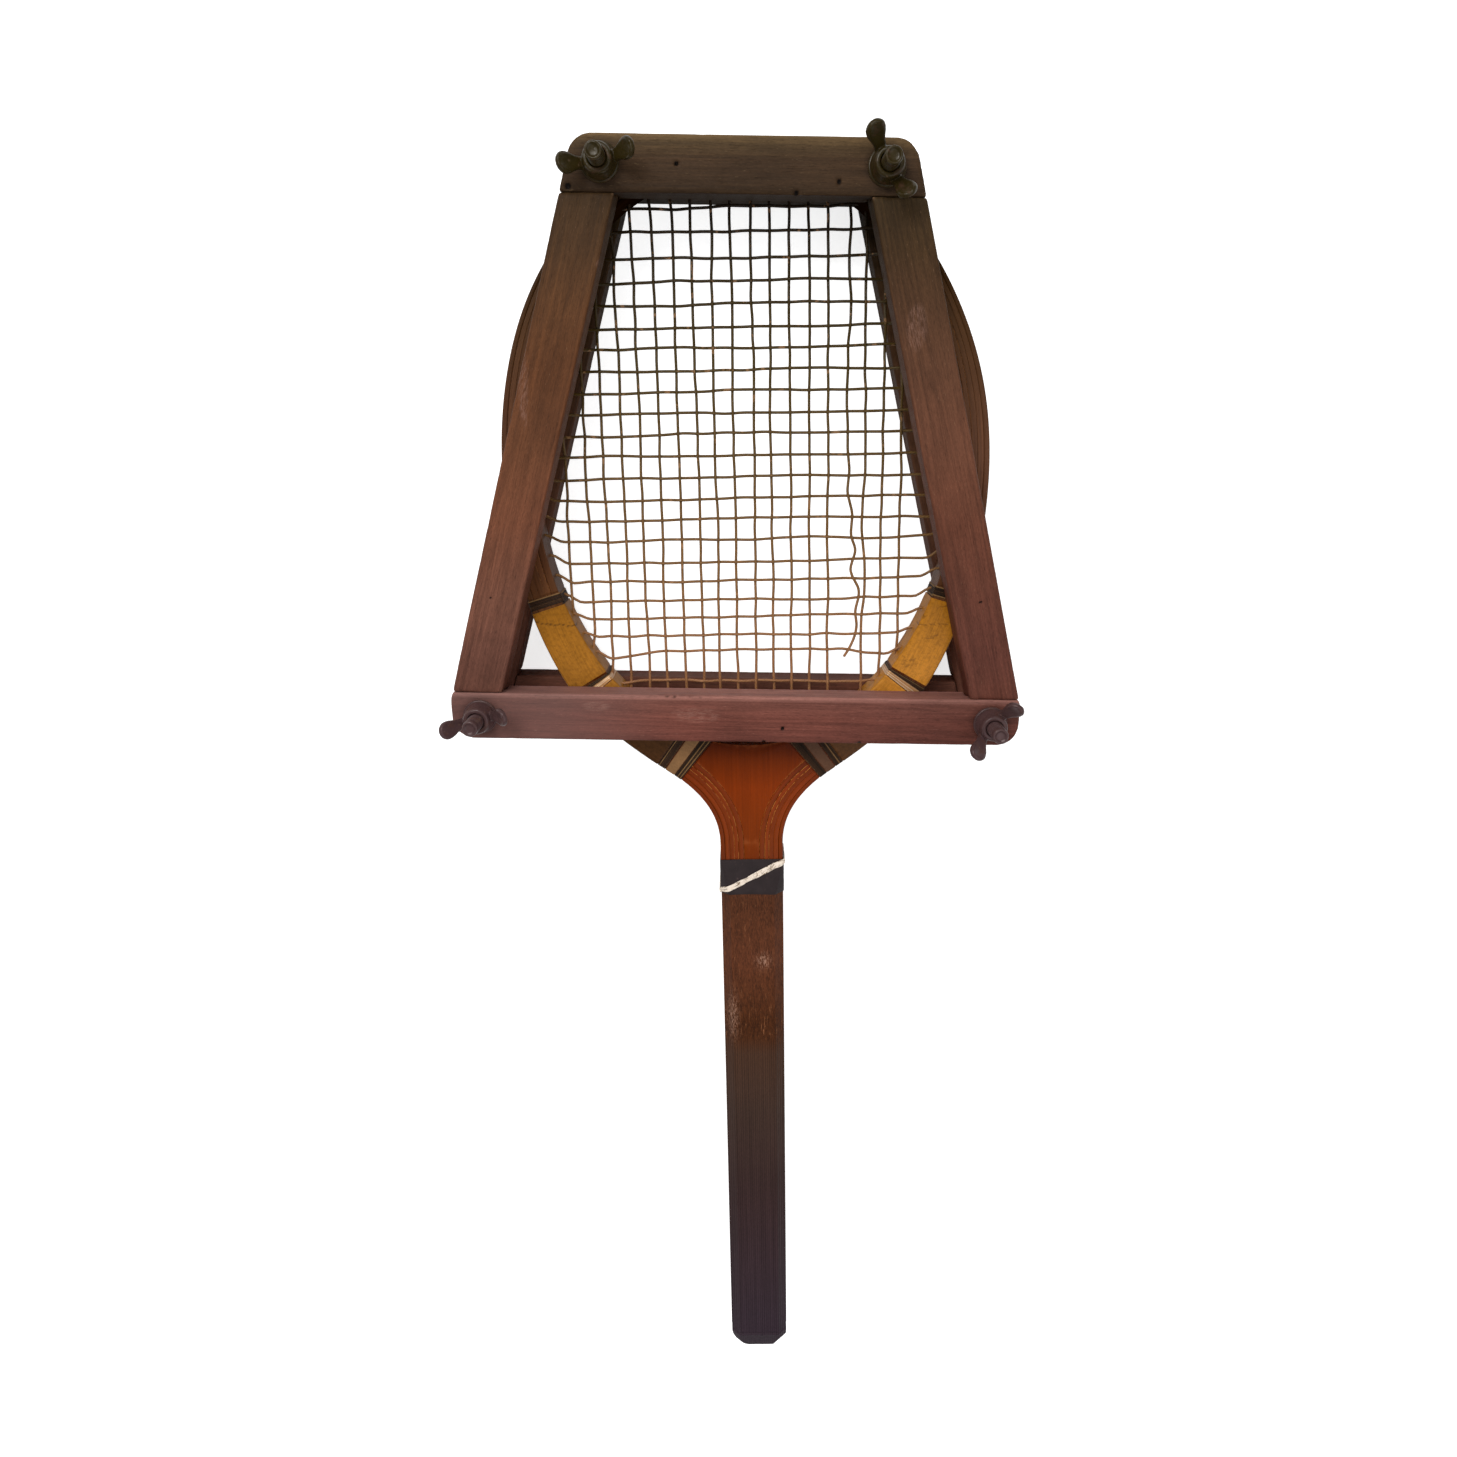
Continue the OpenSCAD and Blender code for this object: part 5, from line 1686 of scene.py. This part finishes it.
def tie_strap():
    """Narrow band tied slantwise over the tape."""
    half = STRAP_W / 2 / math.cos(STRAP_SLANT)
    count = 220
    index = np.arange(count)
    grid = np.linspace(-222.3, -203.6, 24)   # heights of the neck rings followed
    points, dist = resample(handle_octagon(0, FACING_T), count, closed=True)
    centre_y = STRAP_Y + points[:, 0] * math.tan(STRAP_SLANT)
    sections, grains = [], []
    for across, grow in STRAP_PROFILE:
        y = centre_y + across * half
        rings = np.array([neck_ring(height, grow, count)[0] for height in grid])
        cell = (np.clip(y, grid[0], grid[-1]) - grid[0]) / (grid[1] - grid[0])
        low = np.clip(np.floor(cell).astype(int), 0, len(grid) - 2)
        part = (cell - low)[:, None]
        ring = rings[low, index] * (1 - part) + rings[low + 1, index] * part
        solid = np.column_stack([ring[:, 0], y, ring[:, 1]])
        wave = 0.18 * wander(dist, 0.09, 1.0 if across < 0 else 7.0, 501) * abs(across)
        nicks = (np.clip(wander(dist, 0.45, 3.0 + np.sign(across), 503) - 0.45, 0, 1)
                 * 0.9 * abs(across) ** 3)
        if grow > 0.7:
            lumps = 0.06 * fractal_noise(solid * 0.5, 3, 502) - 0.04
            ring = ring + outward(ring) * lumps[:, None]
        y = y + wave - np.sign(across) * nicks
        sections.append(np.stack([ring[:, 0], y, ring[:, 1]], 1))
        grains.append(np.stack([dist, np.full(count, across * 1.65),
                                np.full(count, grow)], 1))
    verts, faces = loft(sections, closed=True)
    add_piece("tie_strap", "band", (to_world(verts), faces), STRAP,
              attrs={"gc": np.concatenate(grains)}, sharp=60)


facing("front", 201)
facing("back", 202)
butt_block()
neck_tape()
tie_strap()

# ---------------------------------------------------------------- strings
# places of the strings inside the opening: x of the mains, y of the crosses
MAIN_X = [
    -90.0, -79.7, -70.6, -61.3, -52.2, -42.6, -33.2, -23.8, -14.8, -5.6, 4.1, 12.9, 22.3,
    31.7, 40.9, 49.2, 59.2, 68.3, 77.3]
CROSS_Y = [
    122.3, 111.6, 100.1, 89.6, 79.2, 69.2, 59.6, 49.3, 39.6, 29.2, 19.4, 8.8, -1.7, -12.5,
    -22.4, -32.6, -43.8, -53.3, -63.7, -72.6, -82.2, -90.0, -106.9]
# the even places where they pass through the bow
RIM_X = [-1.8 + (i - 9.5) * 9.28 for i in range(len(MAIN_X))]
RIM_Y = [CROSS_Y[0] - 10.08 * j for j in range(22)] + [CROSS_Y[-1]]
BROKEN = 15                          # index of the broken main
STRING_R = 0.70
WEAVE_Z = 0.70                       # a string's offset from the middle at a crossing
# the broken main's course upwards: y, x
BROKEN_COURSE = np.array([
    (-94.3, 49.8), (-90.1, 52.4), (-83.8, 55.5), (-78.0, 56.4), (-70.6, 55.1), (-63.4, 57.3),
    (-58.7, 57.2), (-53.5, 54.1), (-49.3, 52.3), (-39.2, 55.5), (-31.6, 52.5), (-21.1, 53.6),
    (-10.1, 50.6), (0.1, 51.9), (10.3, 50.7), (20.9, 50.9), (30.9, 50.1), (40.3, 50.3),
    (51.0, 50.6), (60.7, 50.6), (70.3, 51.6), (81.1, 52.0), (91.4, 50.8), (103.8, 50.9),
    (114.7, 51.6), (124, 51.0), (134.5, 50.0)])


def oval_height(fraction):
    return max(0.0, 1 - abs(fraction) ** FULLNESS) ** (1 / FULLNESS)


def round_height(fraction):
    return math.sqrt(max(0, 1 - fraction ** 2))


def outer_top(x):
    return HEAD_TOP * oval_height(x / HEAD_A)


def open_top(x):
    return OPEN_TOP * oval_height(x / OPEN_A)


def open_low(x):
    return -OPEN_LOW * round_height(x / OPEN_A)


def open_side(y):
    return OPEN_A * (oval_height(y / OPEN_TOP) if y >= 0 else round_height(y / OPEN_LOW))


def outer_side(y):
    return HEAD_A * (oval_height(y / HEAD_TOP) if y >= 0 else round_height(y / HEAD_LOW))


def main_curve(i, y):
    """x of main i at heights y."""
    drift = wander(y, 0.035, i * 7.3, 601) * 0.55
    drift += wander(y, 0.11, i * 3.1, 602) * 0.25
    x = MAIN_X[i] + drift
    if i == BROKEN - 1:              # slack neighbour of the broken string
        x = x + 0.9 * np.exp(-((y + 55) / 16) ** 2) - 0.6 * np.exp(-((y + 82) / 10) ** 2)
    if i == BROKEN + 1:
        x = x + 0.7 * np.sin(y * 0.09) * np.exp(-((y + 40) / 50) ** 2)
    return x


def cross_curve(j, x):
    """y of cross j at places x."""
    drift = wander(x, 0.03, j * 5.7, 611) * 0.75
    drift += wander(x, 0.10, j * 2.9, 612) * 0.3
    y = CROSS_Y[j] + drift
    if j == 21:                      # second lowest dips at its ends
        y = y - 4.2 * smooth_step(42, 78, np.abs(x))
    if j == 22:
        y = y - 1.2 * smooth_step(30, 52, x) + 0.8 * smooth_step(25, 45, -x)
    return y


def cross_heights(x):
    return [float(cross_curve(j, np.array([x]))[0]) for j in range(len(CROSS_Y))]


def weave(places, others, parity):
    """z along a string: over and under at each crossing in turn, smooth between."""
    others = np.asarray(others, float)
    order = np.argsort(others)
    others = others[order]
    heights = np.array([WEAVE_Z if (k + parity) % 2 == 0 else -WEAVE_Z for k in order])
    z = np.zeros(len(places))
    for i, place in enumerate(places):
        if place <= others[0]:
            z[i] = heights[0] * max(0.0, 1 - (others[0] - place) / 9.0)
        elif place >= others[-1]:
            z[i] = heights[-1] * max(0.0, 1 - (place - others[-1]) / 9.0)
        else:
            k = int(np.searchsorted(others, place)) - 1
            part = (place - others[k]) / (others[k + 1] - others[k])
            change = heights[k + 1] - heights[k]
            z[i] = heights[k] + change * (0.5 - 0.5 * math.cos(math.pi * part))
    return z


def rim_point(pos, deep):
    """Point a given depth inside the outer edge; a negative pos is on the left half."""
    x, y = edge_point(abs(pos)) + inward(abs(pos)) * deep
    return [-x if pos < 0 else x, y, 0.0]


def add_rim_loop(shells, start, end, lane):
    """String lying in the groove round the outside of the bow."""
    path = [rim_point(pos, 0.85) for pos in np.linspace(start, end, 9)]
    shells.add_tube([rim_point(start, 3.4)] + path + [rim_point(end, 3.4)], lane)


def pos_of_x(x):
    """pos on the upper head where the outer edge has this x; negative on the left."""
    degrees = math.degrees(math.acos(min(1, (abs(x) / HEAD_A) ** (FULLNESS / 2))))
    return (90 - degrees) / (90 - SHOULDER_T) * (1 if x >= 0 else -1)


def pos_of_y(y):
    height = (y / HEAD_TOP) ** (FULLNESS / 2) if y >= 0 else y / HEAD_LOW
    return (90 - math.degrees(math.asin(max(-1, min(1, height))))) / (90 - SHOULDER_T)


def main_strings():
    shells = Shells()
    for i, rim_x in enumerate(RIM_X):
        if i == BROKEN:
            continue
        low = open_low(rim_x) - (6.0 if abs(rim_x) > 42 else 12.0)
        high = outer_top(rim_x) - 4.0
        y = np.append(np.arange(low, high, 2.4), high)
        blend = smooth_step(open_top(rim_x) - 14, open_top(rim_x), y)
        x = main_curve(i, y) * (1 - blend) + rim_x * blend
        blend = 1 - smooth_step(open_low(rim_x), open_low(rim_x) + 12, y)
        x = x * (1 - blend) + rim_x * blend
        heights = cross_heights(rim_x)
        met = [j for j, height in enumerate(heights) if open_side(height) > abs(rim_x) - 1]
        z = weave(y, [heights[j] for j in met], i + met[0])
        shells.add_tube(np.column_stack([x, y, z]), i * 11.0)
    for i in range(0, 18, 2):
        if BROKEN not in (i, i + 1):
            add_rim_loop(shells, pos_of_x(RIM_X[i]), pos_of_x(RIM_X[i + 1]), i * 5.0)
    shells.place("main_strings", "gut", STRING, "string")


def broken_main():
    """Slack and kinked from the crown down to its broken end."""
    y = np.arange(-94.3, 134.0, 1.3)
    x = np.interp(y, BROKEN_COURSE[:, 0], BROKEN_COURSE[:, 1])
    kernel = np.array([1, 2, 3, 2, 1.0])
    kernel /= kernel.sum()
    x[2:-2] = np.convolve(x, kernel, "valid")
    high = outer_top(RIM_X[BROKEN]) - 4.0
    end_y = np.arange(134.0, high, 2.0)
    end_x = np.interp(end_y, [134.0, high], [x[-1], RIM_X[BROKEN]])
    x, y = np.append(x, end_x), np.append(y, end_y)
    met = [height for height in cross_heights(48.0) if height > -97]
    z = weave(y, met, BROKEN) * 1.15
    z = z + 0.5 * np.exp(-((y + 30) / 26) ** 2)
    shells = Shells()
    shells.add_tube(np.column_stack([x, y, z]), 0.0)
    shells.place("broken_main_string", "gut", STRING, "string")


def cross_strings():
    shells = Shells()
    for j, (inside_y, rim_y) in enumerate(zip(CROSS_Y, RIM_Y)):
        reach = outer_side(rim_y) - 4.0
        x = np.append(np.arange(-reach, reach, 2.4), reach)
        opening = open_side(rim_y)
        blend = smooth_step(opening - 10, opening, np.abs(x))
        y = cross_curve(j, x) * (1 - blend) + rim_y * blend
        mains = [float(main_curve(i, np.array([inside_y]))[0]) for i in range(len(MAIN_X))]
        met = [i for i, main_x in enumerate(mains)
               if open_top(main_x) > inside_y - 1 and open_low(main_x) < inside_y + 1
               and not (inside_y < -97 and i == BROKEN)]
        z = -weave(x, [mains[i] for i in met], j + met[0])
        shells.add_tube(np.column_stack([x, y, z]), 300 + j * 11.0)
    for j in range(0, 18, 2):
        add_rim_loop(shells, pos_of_y(RIM_Y[j]), pos_of_y(RIM_Y[j + 1]), 400 + j)
    for j in range(1, 17, 2):
        add_rim_loop(shells, -pos_of_y(RIM_Y[j]), -pos_of_y(RIM_Y[j + 1]), 500 + j)
    shells.place("cross_strings", "gut", STRING, "string")


main_strings()
broken_main()
cross_strings()


# ---------------------------------------------------------------- stage (metres)
def floor_material():
    mat = Material("floor_paper")
    clouds = mat.noise(mat.obj(), scale=3.0, detail=2)
    seen = mat.node("LightPath").outputs["Is Camera Ray"]
    mat.set(color=mat.mix(clouds, (0.80, 0.80, 0.80, 1), (0.84, 0.84, 0.84, 1)), rough=0.9,
            spec=0.0, emit=(1, 1, 1, 1), emit_strength=mat.product(seen, 0.72))
    # from below the floor is clear, so the underside of the press can be looked at
    clear = mat.node("BsdfTransparent")
    behind = mat.node("NewGeometry").outputs["Backfacing"]
    near = mat.math("LESS_THAN", mat.node("LightPath").outputs["Ray Length"], 0.006)
    factor = mat.math("MAXIMUM", mat.product(seen, behind),
                      mat.product(mat.sub(1.0, seen), near))
    both = mat.node("MixShader", factor, mat.bsdf.outputs[0], clear.outputs[0])
    mat.put(mat.output.inputs["Surface"], both.outputs[0])
    return mat.data


def floor():
    mesh = bpy.data.meshes.new("floor")
    half, z = 6.0, -0.0004
    mesh.from_pydata([(-half, -half, z), (half, -half, z), (half, half, z),
                      (-half, half, z)], [], [(0, 1, 2, 3)])
    ob = bpy.data.objects.new("floor", mesh)
    bpy.context.scene.collection.objects.link(ob)
    mesh.materials.append(floor_material())


def area_light(name, location, target, size, watts, color=(1, 1, 1)):
    light = bpy.data.lights.new(name, "AREA")
    light.shape, light.size, light.energy, light.color = "SQUARE", size, watts, color
    ob = bpy.data.objects.new(name, light)
    ob.location = location
    aim = Vector(target) - Vector(location)
    ob.rotation_euler = aim.to_track_quat("-Z", "Y").to_euler()
    bpy.context.scene.collection.objects.link(ob)


def world():
    studio = bpy.data.worlds.new("studio")
    studio.use_nodes = True
    nodes, links = studio.node_tree.nodes, studio.node_tree.links
    background = nodes["Background"]
    background.inputs["Color"].default_value = (1, 1, 1, 1)
    # the room is darker in reflections, as a studio beyond its soft boxes is
    path = nodes.new("ShaderNodeLightPath")
    strength = nodes.new("ShaderNodeMapRange")
    strength.inputs["To Min"].default_value = 0.62
    strength.inputs["To Max"].default_value = 0.10
    links.new(path.outputs["Is Glossy Ray"], strength.inputs[0])
    links.new(strength.outputs[0], background.inputs["Strength"])
    bpy.context.scene.world = studio
    bpy.context.scene.view_settings.view_transform = "Standard"
    bpy.context.scene.view_settings.look = "None"


def camera():
    """Above the press, looking down and tipped towards the handle."""
    data = bpy.data.cameras.new("camera")
    ob = bpy.data.objects.new("camera", data)
    bpy.context.scene.collection.objects.link(ob)
    roll, tilt = math.radians(0.84), math.radians(15.65)
    right = Vector((math.cos(roll), math.sin(roll), 0))
    up = Vector((-math.sin(roll) * math.cos(tilt), math.cos(roll) * math.cos(tilt),
                 -math.sin(tilt)))
    back = Vector((-math.sin(roll) * math.sin(tilt), math.cos(roll) * math.sin(tilt),
                   math.cos(tilt)))
    matrix = Matrix((right, up, back)).transposed().to_4x4()
    matrix.translation = (0.0, 0.1505, 0.5835)
    ob.matrix_world = matrix
    data.sensor_width = 36
    data.lens = 26.89746054
    data.shift_x, data.shift_y = -0.0079, -0.00927
    data.clip_start, data.clip_end = 0.01, 20
    bpy.context.scene.camera = ob


floor()
area_light("key", location=(-0.55, 1.05, 1.5), target=(0, 0, 0), size=1.1, watts=17.0,
           color=(1, 0.985, 0.96))
area_light("fill", location=(0.9, -0.5, 1.6), target=(0, 0, 0), size=1.6, watts=8.0,
           color=(0.97, 0.98, 1))
area_light("spark", location=(-0.25, 0.55, 0.75), target=(0, 0.1, 0.03), size=0.12,
           watts=0.8)
world()
camera()
